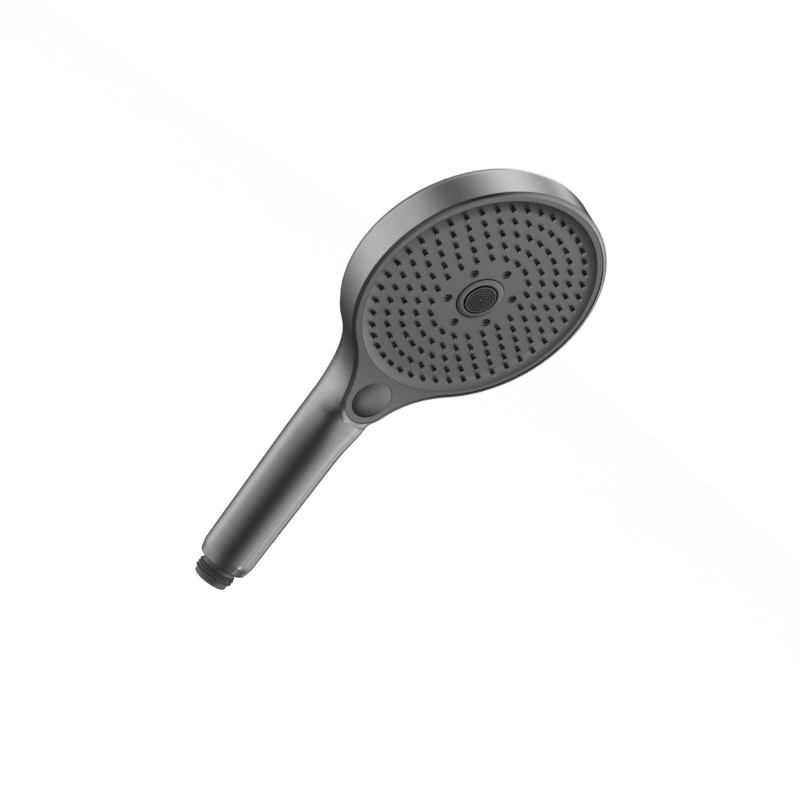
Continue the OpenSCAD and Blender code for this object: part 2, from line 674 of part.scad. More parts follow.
// The two lugs, turning as they climb
module lugs(low, high, grow) {
    translate([0, 0, low]) rotate([0, 0, twist_rate * low])
        linear_extrude(height = high - low, twist = -twist_rate * (high - low), slices = 2 * (high - low))
            square([2 * (lug_r + grow), lug_w + 2 * grow], center = true);
}
module button_stem() {
    color(acetal) on_face() at_button() {
        disc(stem_r, stem_end, under_button);
        disc(lug_r, under_button - 0.4, under_button);
        lugs(stem_end + 0.1, stem_end + 3.1, 0);
    }
}
module drive_sleeve() {
    color(steel) on_face() at_button() difference() {
        union() {
            disc(spindle_bore - run_gap, sleeve_bottom, sleeve_top);
            disc(spindle_r + 0.4, sleeve_top, sleeve_top + 0.7);
        }
        disc(stem_r + seat_gap, sleeve_bottom - 1, sleeve_top + 2);
        lugs(sleeve_bottom - 0.5, sleeve_top + 1, 0.15);
    }
}
module pawl_spring() {
    inner = spindle_r + 0.4;
    color(steel) on_face() at_button() {
        ring(inner + 0.3, inner, sleeve_top + 0.05, sleeve_top + 0.6);
        for (a = [20, 200]) rotate([0, 0, a]) translate([inner + 0.2, -0.6, sleeve_top + 0.05])
            cube([0.5, 1.6, 0.55]);
    }
}
module push_button() {
    slope = atan(rise_power * rise(-button_offset) / (button_offset - rise_from));
    top = face_top + rise(-button_offset) + button_crown;
    ball = (button_r * button_r + button_crown * button_crown) / (2 * button_crown);
    color(face_grey) on_face() difference() {
        intersection() {
            at_button() disc(button_r, skirt_z, 10);
            translate([0, -button_offset, top]) rotate([-slope, 0, 0])
                translate([0, 0, -ball]) sphere(r = ball, $fn = 180);
        }
        at_button() disc(button_r - button_wall, skirt_z - 1, under_button);
    }
}
spring_turns = 3;
spring_waves = 3.5;                           // waves in each turn, so crests meet troughs
wave = 0.39;                                  // height of a wave either side of its mean
module return_spring() {
    steps = 42;
    low = lid_top + wave + strip_t / 2 + 0.02;
    high = under_button - wave - strip_t / 2 - 0.02;
    count = spring_turns * steps;
    rows = [for (k = [0 : count]) let (a = 360 * k / steps, d = [cos(a), sin(a)],
        z = mix(low, high, k / count) + wave * cos(spring_waves * a),
        in = (spring_r - strip_w / 2) * d, out = (spring_r + strip_w / 2) * d)
        [[in[0], in[1], z - strip_t / 2], [out[0], out[1], z - strip_t / 2],
            [out[0], out[1], z + strip_t / 2], [in[0], in[1], z + strip_t / 2]]];
    faces = concat(
        [for (k = [0 : count - 1]) for (j = [0 : 3]) let (n = (j + 1) % 4)
            [4 * k + j, 4 * k + n, 4 * (k + 1) + n, 4 * (k + 1) + j]],
        [[3, 2, 1, 0]],
        [[for (j = [0 : 3]) 4 * count + j]]);
    color(steel) on_face() at_button()
        polyhedron(points = [for (r = rows) for (p = r) p], faces = faces, convexity = 8);
}
module valve_lid() {
    color(moulded_grey) on_face() at_button() difference() {
        disc(housing_r, lid_top - lid_t, lid_top);
        disc(spindle_r + run_gap, -20, 0);
        disc(spindle_r + 1.35, -20, lid_top - 0.2);
    }
}
module spindle_seal() {
    wire = 0.6;
    color(seal_black) on_face() at_button() translate([0, 0, lid_top - 0.25 - wire]) rotate_extrude()
        translate([spindle_r + 0.04 + wire, 0]) circle(r = wire, $fn = 24);
}

// ---------------------------------------------------------------- handle and inlet
RING_SEATS = [socket_low + 4, socket_low + 8, tube_top - 8, tube_top - 4];
module water_tube() {
    color(moulded_pale) difference() {
        ring(tube_r, tube_bore, socket_low + 0.2, tube_top - 0.2);
        for (z = RING_SEATS) ring(tube_r + 1, ring_seat, z - ring_wire - 0.1, z + ring_wire + 0.1);
    }
}
module tube_o_rings() {
    color(seal_black) for (z = RING_SEATS) translate([0, 0, z]) rotate_extrude()
        translate([ring_seat + ring_wire + 0.02, 0]) circle(r = ring_wire, $fn = 24);
}
module inlet_connector() {
    crest = 0.25 * thread_pitch;
    ridges = [for (k = [0 : ridge_count - 1]) let (z = thread_start + (k + 0.5) * thread_pitch)
        for (p = [[thread_core, z - thread_pitch / 2], [thread_r, z - crest],
            [thread_r, z + crest]]) p];
    relief_z = thread_start + ridge_count * thread_pitch;
    color(moulded_grey) rotate_extrude() polygon(concat(
        [[inlet_bore, 0], [pilot_r - 0.4, 0], [pilot_r, 0.4], [pilot_r, thread_start - 0.2],
            [thread_core, thread_start - 0.1]],
        ridges,
        [[thread_core, relief_z], [pilot_r, relief_z + 0.2], [pilot_r, collar_low], [collar_r, collar_low],
            [collar_r, collar_top], [body_r, collar_top],
            [body_r, connector_top], [tube_r + run_gap, connector_top], [tube_r + run_gap, socket_low],
            [tube_bore, socket_low], [tube_bore, bore_depth], [inlet_bore, bore_depth]]));
}
module retaining_ring() {
    color(steel) difference() {
        ring(collar_r + 0.7, collar_r - 1.3, metal_end + 0.9, collar_low - 0.1);
        translate([-2, 0, 0]) cube([4, 20, 20]);
    }
}
limiter_z = 1.2;
module flow_limiter() {
    r = inlet_bore - 0.05;
    color(moulded_pale) difference() {
        disc(r, limiter_z, limiter_z + 5);
        disc(r - 1.6, limiter_z + 2, limiter_z + 6);
        for (i = [0 : 5]) rotate([0, 0, 60 * i]) translate([3.2, 0, 0]) disc(0.9, 0, limiter_z + 3);
        ring(r + 1, r - 1, limiter_z + 2.3, limiter_z + 3.5);
    }
}
module limiter_o_ring() {
    wire = 0.5;
    color(seal_black) translate([0, 0, limiter_z + 2.9]) rotate_extrude()
        translate([inlet_bore - 0.04 - wire, 0]) circle(r = wire, $fn = 24);
}
strainer_pitch = 1.45;
module inlet_strainer() {
    color(steel) difference() {
        disc(inlet_bore - 0.05, 0, 0.6);
        for (k = [1 : 4]) for (i = [0 : 6 * k - 1])
            rotate([0, 0, 60 * i / k]) translate([k * strainer_pitch, 0, -1])
                cylinder(r = 0.5, h = 3, $fn = 16);
    }
}
module fixing_screws() {
    color(steel) on_face() screw_places() difference() {
        union() {
            disc(2.3, floor_top, floor_top + 1.6);
            disc(screw_r, floor_z - screw_len + 0.5, floor_top + 0.2);
        }
        for (a = [0, 90]) rotate([0, 0, a]) translate([-1.4, -0.25, floor_top + 0.8]) cube([2.8, 0.5, 2]);
    }
}

rear_shell();
front_bezel();
spray_plate();
nozzle_mat();
jet_ring();
centre_insert();
spray_screen();
chamber_body();
chamber_seal();
turbine();
valve_body();
waterway_plugs();
port_seals();
valve_drum();
ratchet_ring();
drive_sleeve();
pawl_spring();
button_stem();
push_button();
return_spring();
valve_lid();
spindle_seal();
water_tube();
tube_o_rings();
inlet_connector();
retaining_ring();
flow_limiter();
limiter_o_ring();
inlet_strainer();
fixing_screws();
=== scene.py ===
import math
import bpy
import bmesh
import numpy as np
from mathutils import Matrix, Vector, kdtree
from mathutils.geometry import delaunay_2d_cdt


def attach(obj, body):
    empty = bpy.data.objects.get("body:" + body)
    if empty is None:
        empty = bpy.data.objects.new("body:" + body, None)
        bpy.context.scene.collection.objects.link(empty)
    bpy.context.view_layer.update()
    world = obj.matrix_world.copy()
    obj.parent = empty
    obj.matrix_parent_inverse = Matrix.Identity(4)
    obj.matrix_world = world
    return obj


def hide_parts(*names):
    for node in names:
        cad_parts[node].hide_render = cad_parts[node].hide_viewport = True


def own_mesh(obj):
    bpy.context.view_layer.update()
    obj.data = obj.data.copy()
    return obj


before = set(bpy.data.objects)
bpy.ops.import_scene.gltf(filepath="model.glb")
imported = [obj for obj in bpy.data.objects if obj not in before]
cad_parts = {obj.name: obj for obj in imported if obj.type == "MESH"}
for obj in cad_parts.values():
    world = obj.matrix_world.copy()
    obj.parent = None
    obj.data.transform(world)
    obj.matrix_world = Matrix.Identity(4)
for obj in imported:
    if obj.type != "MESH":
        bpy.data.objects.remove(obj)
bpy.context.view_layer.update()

MM = 0.001

# ---------------- measures, in millimetres
# shell: head, neck and handle
head_d, head_depth, back_slope, back_dome, back_round, wall = 130.2, 20.4, 0.023, 6.0, 6.5, 2.1
head_tilt, axis_depth, face_height = math.radians(15.8), 36.1, 198.6
button_drop, tip_r, neck_fillet, neck_rise, rise_power = 9.9, 16.4, 58.0, 3.2, 2.5
neck_square, square_len, neck_sink = 1.0, 22.0, 0.4
grip_low_d, grip_top_d, grip_end_d, grip_growth = 29.1, 31.3, 26.3, 72.0
taper_len, end_round = 5.9, 0.8
lip_drop, lip_z, lip_round_out, lip_round_in = 1.0, 1.2, 0.3, 0.15
# face: spray plate, nozzles, pulse jets, centre insert and its screen
ring_count, inner_nozzles, ring_gain, inner_ring_r, outer_ring_in = 5, 20, 6, 25.0, 6.0
nozzle_d, nozzle_tip_d, nozzle_h, nozzle_bore_d = 2.4, 2.1, 2.5, 0.6
jet_count, jet_circle_r, jet_d = 6, 17.5, 4.9
insert_d, insert_top, crown_fall, screen_d = 24.6, 0.85, 0.55, 16.4
plate_t, mat_t, dish_rise, seat_gap = 2.0, 1.2, 1.6, 0.1
# button, and the wave spring between it and the valve's lid
button_d, button_crown, button_wall, button_travel = 21.4, 1.9, 1.2, 2.5
button_skirt, under_button, button_round, button_gap = -2.6, -1.7, 0.03, 0.015
lid_top, strip_t, strip_w, spring_turns, spring_waves, spring_wave = -6.5, 0.3, 1.1, 3, 3.5, 0.39
# inlet and the socket of the water tube
thread_d, thread_pitch, pilot_len, pilot_r = 20.955, 1.814, 2.1, 9.3
inlet_bore_d, inlet_len, bore_depth = 15.0, 10.8, 15.0
tube_d, tube_wall, socket_wall, socket_low, socket_len, run_gap = 12.0, 1.8, 2.2, 22.0, 12.0, 0.06
collar_len, collar_in = 5.0, 2.1

CT, ST = math.cos(head_tilt), math.sin(head_tilt)
tilt_slope = math.tan(head_tilt)
head_r = head_d / 2
button_offset = head_r + button_drop
rim_z = lip_z + lip_drop
face_top = dish_rise
rise_from = head_r - 10
metal_end = inlet_len
taper_top = metal_end + taper_len
plate_r = head_r - wall - 3
last_ring_r = plate_r - outer_ring_in
ring_pitch = (last_ring_r - inner_ring_r) / (ring_count - 1)
dish_from = last_ring_r - 2.5
bezel_in = wall + 0.12
button_r = button_d / 2
spring_r = button_r - button_wall - 0.2 - strip_w / 2
insert_r = insert_d / 2
screen_r = screen_d / 2
mat_z = -plate_t - mat_t
chamber_r = plate_r - 1.6
jet_zone_out = jet_circle_r + 3.4
jet_zone_in = jet_circle_r - 3.3

# from the face's axes (x right, y up the face, z out of it) to the frame's
FACE = Matrix(((1, 0, 0, 0),
               (0, -ST, -CT, -axis_depth * CT),
               (0, CT, -ST, face_height),
               (0, 0, 0, 1)))


def face_dir(x, y, z):
    return Vector((x, -y * ST - z * CT, y * CT - z * ST))


def place(ob):
    bpy.context.scene.collection.objects.link(ob)
    return ob


# ---------------- camera
# the face's centre and its three axes as the camera sees them: right, down and ahead
seen = Vector((38.46, -48.68, 820.5))
seen_axes = ((0.63224668, 0.35710714, 0.68755991),
             (0.70814189, -0.62639142, -0.32583563),
             (0.3143234, 0.69289846, -0.64891642))
cam_right, cam_down, cam_ahead = (face_dir(*column) for column in zip(*seen_axes))
centre = FACE @ Vector((0, 0, 0))
eye = centre - (seen[0] * cam_right + seen[1] * cam_down + seen[2] * cam_ahead)
cam_data = bpy.data.cameras.new("camera")
cam_data.sensor_fit = "HORIZONTAL"
cam_data.sensor_width = 36
cam_data.lens = 76.91
cam_data.clip_start = 0.05
cam_data.clip_end = 50
cam = place(bpy.data.objects.new("camera", cam_data))
turn = Matrix((cam_right, -cam_down, -cam_ahead)).transposed().to_4x4()
cam.matrix_world = Matrix.Translation(eye * MM) @ turn
bpy.context.scene.camera = cam
bpy.context.scene.view_settings.view_transform = "Standard"


# ---------------- node helpers
def put(node, inputs):
    for key, value in inputs.items():
        node.inputs[key].default_value = value
    return node


def new_material(name, inputs):
    m = bpy.data.materials.new(name)
    m.use_nodes = True
    bsdf = next(n for n in m.node_tree.nodes if n.type == "BSDF_PRINCIPLED")
    return m, m.node_tree, put(bsdf, inputs)


def add(nt, kind, inputs={}, **values):
    n = nt.nodes.new(kind)
    for key, value in values.items():
        setattr(n, key, value)
    return put(n, inputs)


def math_node(nt, op, a, b=None):
    n = add(nt, "ShaderNodeMath", operation=op)
    for i, v in enumerate((a, b)):
        if v is None:
            continue
        if isinstance(v, (int, float)):
            n.inputs[i].default_value = v
        else:
            nt.links.new(v, n.inputs[i])
    return n.outputs[0]


def noise(nt, vector, scale, detail=4.0, rough=0.5, stretch=None):
    if stretch is not None:
        mp = add(nt, "ShaderNodeMapping", {"Scale": stretch})
        nt.links.new(vector, mp.inputs["Vector"])
        vector = mp.outputs["Vector"]
    n = add(nt, "ShaderNodeTexNoise", {"Scale": scale, "Detail": detail, "Roughness": rough})
    nt.links.new(vector, n.inputs["Vector"])
    return n.outputs["Fac"]


def ramp(nt, fac, lo, hi, a, b):
    """Takes fac from the range lo to hi into the range a to b."""
    n = add(nt, "ShaderNodeMapRange", {"From Min": lo, "From Max": hi, "To Min": a, "To Max": b})
    nt.links.new(fac, n.inputs["Value"])
    return n.outputs["Result"]


def shades(nt, fac, tone, low, high):
    """The tone times low where fac is 0, and times high where it is 1."""
    ends = {6: (*[c * low for c in tone], 1), 7: (*[c * high for c in tone], 1)}
    n = add(nt, "ShaderNodeMix", ends, data_type="RGBA")
    nt.links.new(fac, n.inputs[0])
    return n.outputs[2]


def bump(nt, height, strength, distance, bsdf):
    n = add(nt, "ShaderNodeBump", {"Strength": strength, "Distance": distance})
    nt.links.new(height, n.inputs["Height"])
    nt.links.new(n.outputs["Normal"], bsdf.inputs["Normal"])


def coords(nt):
    return add(nt, "ShaderNodeTexCoord").outputs["Object"]


# ---------------- materials
def brushed_metal(name, tone, rough, aniso):
    """Satin plated metal brushed across the handle: fine lines square to the height axis."""
    m, nt, b = new_material(name, {"Metallic": 1.0, "Anisotropic": aniso,
                                   "Anisotropic Rotation": 0.25})
    p = coords(nt)
    fine = noise(nt, p, 1.0, 2.0, 0.55, (40, 40, 4200))
    coarse = noise(nt, p, 1.0, 3.0, 0.6, (22, 22, 900))
    cloud = noise(nt, p, 26.0, 3.0, 0.55)
    lines = math_node(nt, "ADD", math_node(nt, "MULTIPLY", fine, 0.55),
                      math_node(nt, "MULTIPLY", coarse, 0.45))
    shade = ramp(nt, lines, 0.36, 0.64, 0.0, 1.0)
    nt.links.new(shades(nt, shade, tone, 0.95, 1.04), b.inputs["Base Color"])
    line_rough = ramp(nt, lines, 0.3, 0.7, rough - 0.02, rough + 0.02)
    cloud_rough = ramp(nt, cloud, 0.3, 0.7, -0.01, 0.01)
    nt.links.new(math_node(nt, "ADD", line_rough, cloud_rough), b.inputs["Roughness"])
    streaks = noise(nt, p, 1.0, 2.0, 0.5, (22, 22, 1200))
    bump(nt, streaks, 0.22, 0.00002, b)
    along = add(nt, "ShaderNodeTangent", direction_type="UV_MAP", uv_map="brush")
    nt.links.new(along.outputs["Tangent"], b.inputs["Tangent"])
    return m


def moulded(name, tone, rough, metallic=0.0, grain=900.0, depth=0.00001, level=0.5):
    """Moulded plastic with a fine grain, also under satin plating where metallic is 1."""
    m, nt, b = new_material(name, {"Metallic": metallic, "Specular IOR Level": level})
    p = coords(nt)
    spots = noise(nt, p, 38.0, 4.0, 0.55)
    fine = noise(nt, p, grain, 2.0, 0.5)
    nt.links.new(shades(nt, spots, tone, 0.94, 1.06), b.inputs["Base Color"])
    nt.links.new(ramp(nt, spots, 0.3, 0.7, rough - 0.03, rough + 0.03), b.inputs["Roughness"])
    bump(nt, fine, 0.25, depth, b)
    return m


def silicone(name, tip_tone, foot_tone, foot_len):
    """Dark silicone that is lighter at the foot of each nozzle, up to foot_len above the face."""
    m, nt, b = new_material(name, {"Specular IOR Level": 0.5})
    p = coords(nt)
    out = face_dir(0, 0, 1)
    dot = add(nt, "ShaderNodeVectorMath", {1: out}, operation="DOT_PRODUCT")
    nt.links.new(p, dot.inputs[0])
    height = math_node(nt, "SUBTRACT", dot.outputs["Value"], centre.dot(out) * MM)
    spots = noise(nt, p, 700.0, 2.0, 0.5)
    low = math_node(nt, "ADD", ramp(nt, height, 0.0, foot_len * MM, 1.0, 0.0),
                    ramp(nt, spots, 0.3, 0.7, -0.1, 0.1))
    nt.links.new(shades(nt, low, [1.0] * 3, tip_tone, foot_tone), b.inputs["Base Color"])
    nt.links.new(ramp(nt, spots, 0.3, 0.7, 0.38, 0.46), b.inputs["Roughness"])
    return m


def grey(v):
    """Linear colour of a grey level from 0 to 255 on the screen."""
    v = v / 255.0
    lin = v / 12.92 if v <= 0.04045 else ((v + 0.055) / 1.055) ** 2.4
    return [lin, lin, lin]


def stainless(name, tone, rough):
    m, nt, b = new_material(name, {"Metallic": 1.0})
    lines = noise(nt, coords(nt), 1.0, 3.0, 0.55, (300, 300, 300))
    nt.links.new(shades(nt, lines, tone, 0.8, 1.0), b.inputs["Base Color"])
    nt.links.new(ramp(nt, lines, 0.3, 0.7, rough - 0.06, rough + 0.06), b.inputs["Roughness"])
    bump(nt, lines, 0.1, 0.00002, b)
    return m


MAT = {
    "plated": brushed_metal("plated_brushed", [0.42] * 3, 0.18, 0.35),
    "rubber": silicone("nozzle_silicone", 0.03, 0.17, 1.1),
    # a lighter copy of the nozzle rubber for the tops of the tips, where they face the lamps:
    # painted light
    "rubber_tip": moulded("nozzle_tip_painted_light", [0.33] * 3, 0.4, 1.0, 700.0, 0.000006, 0.4),
    # near-black material for upright and deep faces in holes, cups and grooves: painted shade
    "shadow": moulded("painted_shade_dark", [0.015] * 3, 0.5, 0.0, 1200.0, 0.000002),
    "screen": moulded("screen_satin", [0.145] * 3, 0.36, 1.0, 1200.0, 0.000002),
    "inlet": moulded("inlet_moulded", [0.19] * 3, 0.36, 0.5, 900.0, 0.000004),
    "core": moulded("core_moulded", grey(84), 0.5, 0.0, 500.0, 0.00002),
    "pale": moulded("pale_moulded", grey(200), 0.42, 0.0, 500.0, 0.00002),
    "acetal": moulded("acetal_moulded", grey(219), 0.38, 0.0, 500.0, 0.00001),
    "seal": moulded("seal_black", grey(28), 0.55, 0.0, 1500.0, 0.00001, 0.35),
    "steel": stainless("stainless_steel", [0.55, 0.55, 0.56], 0.28),
}
for part in ("face", "bezel", "button"):
    MAT[part] = moulded(part + "_satin", [0.235] * 3, 0.38, 1.0, 1400.0, 0.000002)


# ---------------- mesh helpers
def make(name, verts, faces, body, mats, replaces=(), faced=True, face_mat=None, uv=None,
         sharp=32.0, top=None):
    """Mesh object from points in millimetres, on the face's axes unless faced is False.

    face_mat picks one of mats for each face, edges over sharp degrees stay hard, and top(x, y, z)
    gives the normal of the points it claims on faces that look out of the face."""
    me = bpy.data.meshes.new(name)
    pts = np.asarray(verts, dtype=float)
    me.from_pydata([tuple(p) for p in pts], [], [list(f) for f in faces])
    me.validate(clean_customdata=False)
    for m in mats:
        me.materials.append(m)
    if face_mat is not None:
        me.polygons.foreach_set("material_index", np.asarray(face_mat, dtype=np.int32))
    if uv is not None:
        layer = me.uv_layers.new(name="brush")
        layer.data.foreach_set("uv", np.asarray(uv, dtype=np.float32).ravel())
    bm = bmesh.new()
    bm.from_mesh(me)
    bmesh.ops.recalc_face_normals(bm, faces=bm.faces)
    limit = math.radians(sharp)
    for e in bm.edges:
        if len(e.link_faces) == 2 and e.calc_face_angle(0.0) > limit:
            e.smooth = False
    for f in bm.faces:
        f.smooth = True
    bm.to_mesh(me)
    bm.free()
    if top is not None:
        normals = np.zeros((len(me.loops), 3))
        for poly in me.polygons:
            if poly.normal.z > 0.8:
                for li in poly.loop_indices:
                    co = me.vertices[me.loops[li].vertex_index].co
                    n = top(co.x, co.y, co.z)
                    if n is not None:
                        normals[li] = n
        me.normals_split_custom_set([tuple(n) for n in normals])
    me.transform(Matrix.Scale(MM, 4) @ (FACE if faced else Matrix.Identity(4)))
    ob = place(bpy.data.objects.new(name, me))
    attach(ob, body)
    if replaces:
        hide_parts(*replaces)
    return ob


def band(rings, steps, closed=False):
    """Faces between neighbouring rings of point numbers; a ring of one number is a pole."""
    faces = []
    pairs = zip(rings, rings[1:] + rings[:1] if closed else rings[1:])
    for a, b in pairs:
        for i in range(steps):
            j = (i + 1) % steps
            corners = list(dict.fromkeys((a[i], a[j], b[j], b[i])))
            if len(corners) > 2:
                faces.append(corners)
    return faces


def lathe(profile, steps=96, centre=(0.0, 0.0), closed=True):
    """Quads from (r, z) points turned about z at a centre; a point at r 0 becomes one pole."""
    verts, rings = [], []
    for r, z in profile:
        start = len(verts)
        if r < 1e-6:
            rings.append([start] * steps)
            verts.append((*centre, z))
        else:
            rings.append(list(range(start, start + steps)))
            verts.extend((x, y, z) for x, y in loop_points(*centre, r, steps))
    return verts, band(rings, steps, closed)


def loop_points(cx, cy, r, n, phase=0.0):
    """n points on a circle, counted anticlockwise from the angle phase."""
    turns = (phase + 2 * math.pi * i / n for i in range(n))
    return [(cx + r * math.cos(a), cy + r * math.sin(a)) for a in turns]


def rounded(profile, radius, segs=2):
    """Rounds the corners of a closed (r, z) profile with a curve of segs pieces."""
    out = []
    for i, corner in enumerate(profile):
        p = np.array(corner, float)
        a = np.array(profile[i - 1], float) - p
        b = np.array(profile[(i + 1) % len(profile)], float) - p
        la, lb = np.linalg.norm(a), np.linalg.norm(b)
        a, b = a / la, b / lb
        half = math.acos(float(np.clip(a @ b, -1, 1))) / 2
        cut = min(radius / math.tan(half), la * 0.48, lb * 0.48)
        for t in (k / segs for k in range(segs + 1)):
            out.append(tuple(p + a * cut * (1 - t) ** 2 + b * cut * t ** 2))
    return out


def merge(parts):
    """Several (verts, faces) as one."""
    verts, faces = [], []
    for v, f in parts:
        base = len(verts)
        verts.extend(v)
        faces.extend([[i + base for i in g] for g in f])
    return verts, faces


# ---------------- shell surface
# as in part.scad: sections across the head and along the handle, each half of HALF steps
def mix(a, b, t):
    return a + (b - a) * t


def cos_sin(angle):
    a = math.radians(angle)
    return math.cos(a), math.sin(a)


def clamp01(t):
    return min(1.0, max(0.0, t))


def smooth(a, b, v):
    t = clamp01((v - a) / (b - a))
    return t * t * (3 - 2 * t)


rise_span = button_offset + tip_r - wall - rise_from


def rise(y):
    """How far the neck's face stands above the head's."""
    return neck_rise * max(0.0, (-rise_from - y) / rise_span) ** rise_power


def rise_slope(y):
    share = max(0.0, (-rise_from - y) / rise_span)
    return -neck_rise * rise_power * share ** (rise_power - 1) / rise_span


def height_on_axis(y):
    """Height in the frame of the point of the handle's axis that lies at y on the face."""
    return face_height + axis_depth * ST + y / CT


def y_at_height(h):
    return (h - face_height - axis_depth * ST) * CT


def end_step(h):
    u = clamp01((metal_end + end_round - h) / end_round)
    return end_round * (1 - math.sqrt(max(0.0, 1 - u * u)))


def grip_r(h):
    """Radius of the handle at a height."""
    if h < taper_top:
        return mix(grip_end_d, grip_low_d, (h - metal_end) / taper_len) / 2 - end_step(h)
    return mix(grip_low_d, grip_top_d, min(1.0, (h - taper_top) / grip_growth)) / 2


reach_head = head_r + neck_fillet
reach_tip = tip_r + neck_fillet
hollow_y = -(reach_head ** 2 - reach_tip ** 2 + button_offset ** 2) / (2 * button_offset)
hollow_x = math.sqrt(reach_head ** 2 - hollow_y ** 2)
head_angle = math.degrees(math.atan2(hollow_y, hollow_x))
tip_angle = math.degrees(math.atan2(hollow_y + button_offset, hollow_x))
first_angle, last_angle = 89.2, -86.0
HEAD, HOLLOW, TIP = range(3)


def lip_point(s, inset):
    """Point of the teardrop outline on the arc s[0], at the angle s[1] in degrees."""
    arc, angle = s
    c, d = cos_sin(angle)
    if arc == HEAD:
        return (head_r - inset) * c, (head_r - inset) * d
    if arc == HOLLOW:
        return hollow_x + (neck_fillet + inset) * c, hollow_y + (neck_fillet + inset) * d
    return (tip_r - inset) * c, -button_offset + (tip_r - inset) * d


edge_turn = 90 - math.degrees(math.atan(2 * back_dome / (head_r - back_round + 1)))
round_centre_r = head_r - back_round
edge_weight, dome_weight = 4.0, 0.3


def edge_r(inset):
    return round_centre_r + (back_round - inset) * math.cos(math.radians(edge_turn))


def depth_at(y):
    return head_depth + back_slope * (head_r - y)


def edge_z(inset, y):
    return back_round - depth_at(y) - (back_round - inset) * math.sin(math.radians(edge_turn))


def dome_z(r, inset, y):
    e = edge_r(inset)
    return edge_z(inset, y) - back_dome * (1 - (min(r, e) / e) ** 2)


def side_len(y, z0):
    return z0 + depth_at(y) - back_round


def edge_len(inset, y):
    t = edge_turn
    if abs(y) >= edge_r(inset):
        t = math.degrees(math.acos(min(1.0, (abs(y) - round_centre_r) / (back_round - inset))))
    return (back_round - inset) * edge_weight * math.pi / 180 * t


def profile_len(inset, y, z0):
    return side_len(y, z0) + edge_len(inset, y) + max(0.0, edge_r(inset) - abs(y)) * dome_weight


def profile(v, inset, y, z0):
    """Radius and height at the length v along the head's side, rounded edge and back."""
    a, b = side_len(y, z0), edge_len(inset, y)
    if v < a:
        return head_r - inset, z0 - v
    if v < a + b + 1e-9:
        t = math.radians((v - a) / (back_round - inset) / edge_weight * 180 / math.pi)
        return (round_centre_r + (back_round - inset) * math.cos(t),
                back_round - depth_at(y) - (back_round - inset) * math.sin(t))
    r = edge_r(inset) - (v - a - b) / dome_weight
    return r, dome_z(r, inset, y)


HALF = 60
freeze_y = -button_offset + 35


def slice_(y, inset, z0):
    """Half of a section across the head at y, from the lip to the middle of the back."""
    total = profile_len(inset, y, z0)
    out = []
    for j in range(HALF + 1):
        p = profile(total * j / HALF, inset, y, z0)
        out.append((0.0 if j == HALF else math.sqrt(max(0.0, p[0] ** 2 - y * y)), p[1]))
    return out


morph_from, morph_to = -button_offset + 26, -button_offset - 19
back_from, back_to = -button_offset + 33, -button_offset - 17
lean_from, lean_to = -button_offset + 30, -button_offset - 20
sink_from, sink_to = -head_r + 15, -head_r - 5
flare_share, flush_share = 0.5, 0.65


def head_section(w, z0, zb, inset):
    """The head's section at freeze_y, fitted to a half width and a depth further down the neck."""
    base = slice_(freeze_y, inset, z0)
    wb, zl = base[0][0], base[HALF][1]
    return [(w * p[0] / wb, z0 + (zb - z0) * (p[1] - z0) / (zl - z0)) for p in base]


def squared(a, p):
    """Radius at an angle of a circle squared by the power p above its middle."""
    if a <= 0:
        return 1.0
    c, s = cos_sin(a)
    return (abs(c) ** p + abs(s) ** p) ** (-1 / p)


tip_y = -button_offset - tip_r - 1.2
tip_height = height_on_axis(tip_y - grip_top_d / 2 * ST)


def square_power(h):
    return 2 + neck_square * clamp01(1 + (h - tip_height) / square_len) ** 2


def round_section(w, z0, zc, r, b, p):
    """Half of a handle section that opens out at its top to the lip's half width w."""
    across, up = w / r, (z0 - zc) / b
    start = math.degrees(math.atan2(up, across))
    grow = math.hypot(across, up) / squared(start, p)
    out = []
    for j in range(HALF + 1):
        u = j / HALF
        a = mix(start, -90, u)
        g = squared(a, p) * (1 + (grow - 1) * max(0.0, 1 - u / flare_share) ** 2.2)
        c, s = cos_sin(a)
        out.append((0.0 if j == HALF else r * g * c, zc + b * g * s))
    return out


def open_section(s, inset):
    """Half of the section that meets the lip at s: the head's, turning into the handle's."""
    w, y = lip_point(s, inset)
    lean = tilt_slope * (1 - smooth(lean_to, lean_from, y))
    tip_share = 1 - smooth(-button_offset - tip_r, -button_offset - tip_r * flush_share, y)
    sink = neck_sink * (1 - smooth(sink_to, sink_from, y))
    flat_z = (rim_z if inset > 0 else lip_z) - sink + rise(y)
    zc0 = (-axis_depth - tilt_slope * (y - lean * flat_z)) / (1 + tilt_slope * lean)
    yc = y + lean * (zc0 - flat_z)
    r = grip_r(height_on_axis(yc)) - inset
    b = r / (CT + lean * ST)
    z0 = flat_z if inset > 0 else mix(flat_z, zc0 + b, tip_share)
    m = 1 - smooth(morph_to, morph_from, y)
    zb = mix(dome_z(abs(y), inset, y), zc0 - b, 1 - smooth(back_to, back_from, y))
    if y > freeze_y:
        flat = slice_(y, inset, z0)
    else:
        round_ = round_section(w, z0, zc0, r, b, 2 + neck_square)
        flat = [(mix(f[0], g[0], m), mix(f[1], g[1], m))
                for f, g in zip(head_section(w, z0, zb, inset), round_)]
    return [(x, y + lean * (z - z0), z) for x, z in flat]


def closed_section(h, inset):
    """Half of the handle's section at a height."""
    yc = y_at_height(h)
    zc = -axis_depth - yc * tilt_slope
    r = grip_r(h) - inset
    b = r * CT
    p = square_power(h)
    out = []
    for j in range(HALF + 1):
        a = mix(-last_angle, -90, j / HALF)
        g = squared(a, p)
        c, s = cos_sin(a)
        out.append((0.0 if j == HALF else r * g * c, yc + tilt_slope * b * g * s, zc + b * g * s))
    return out


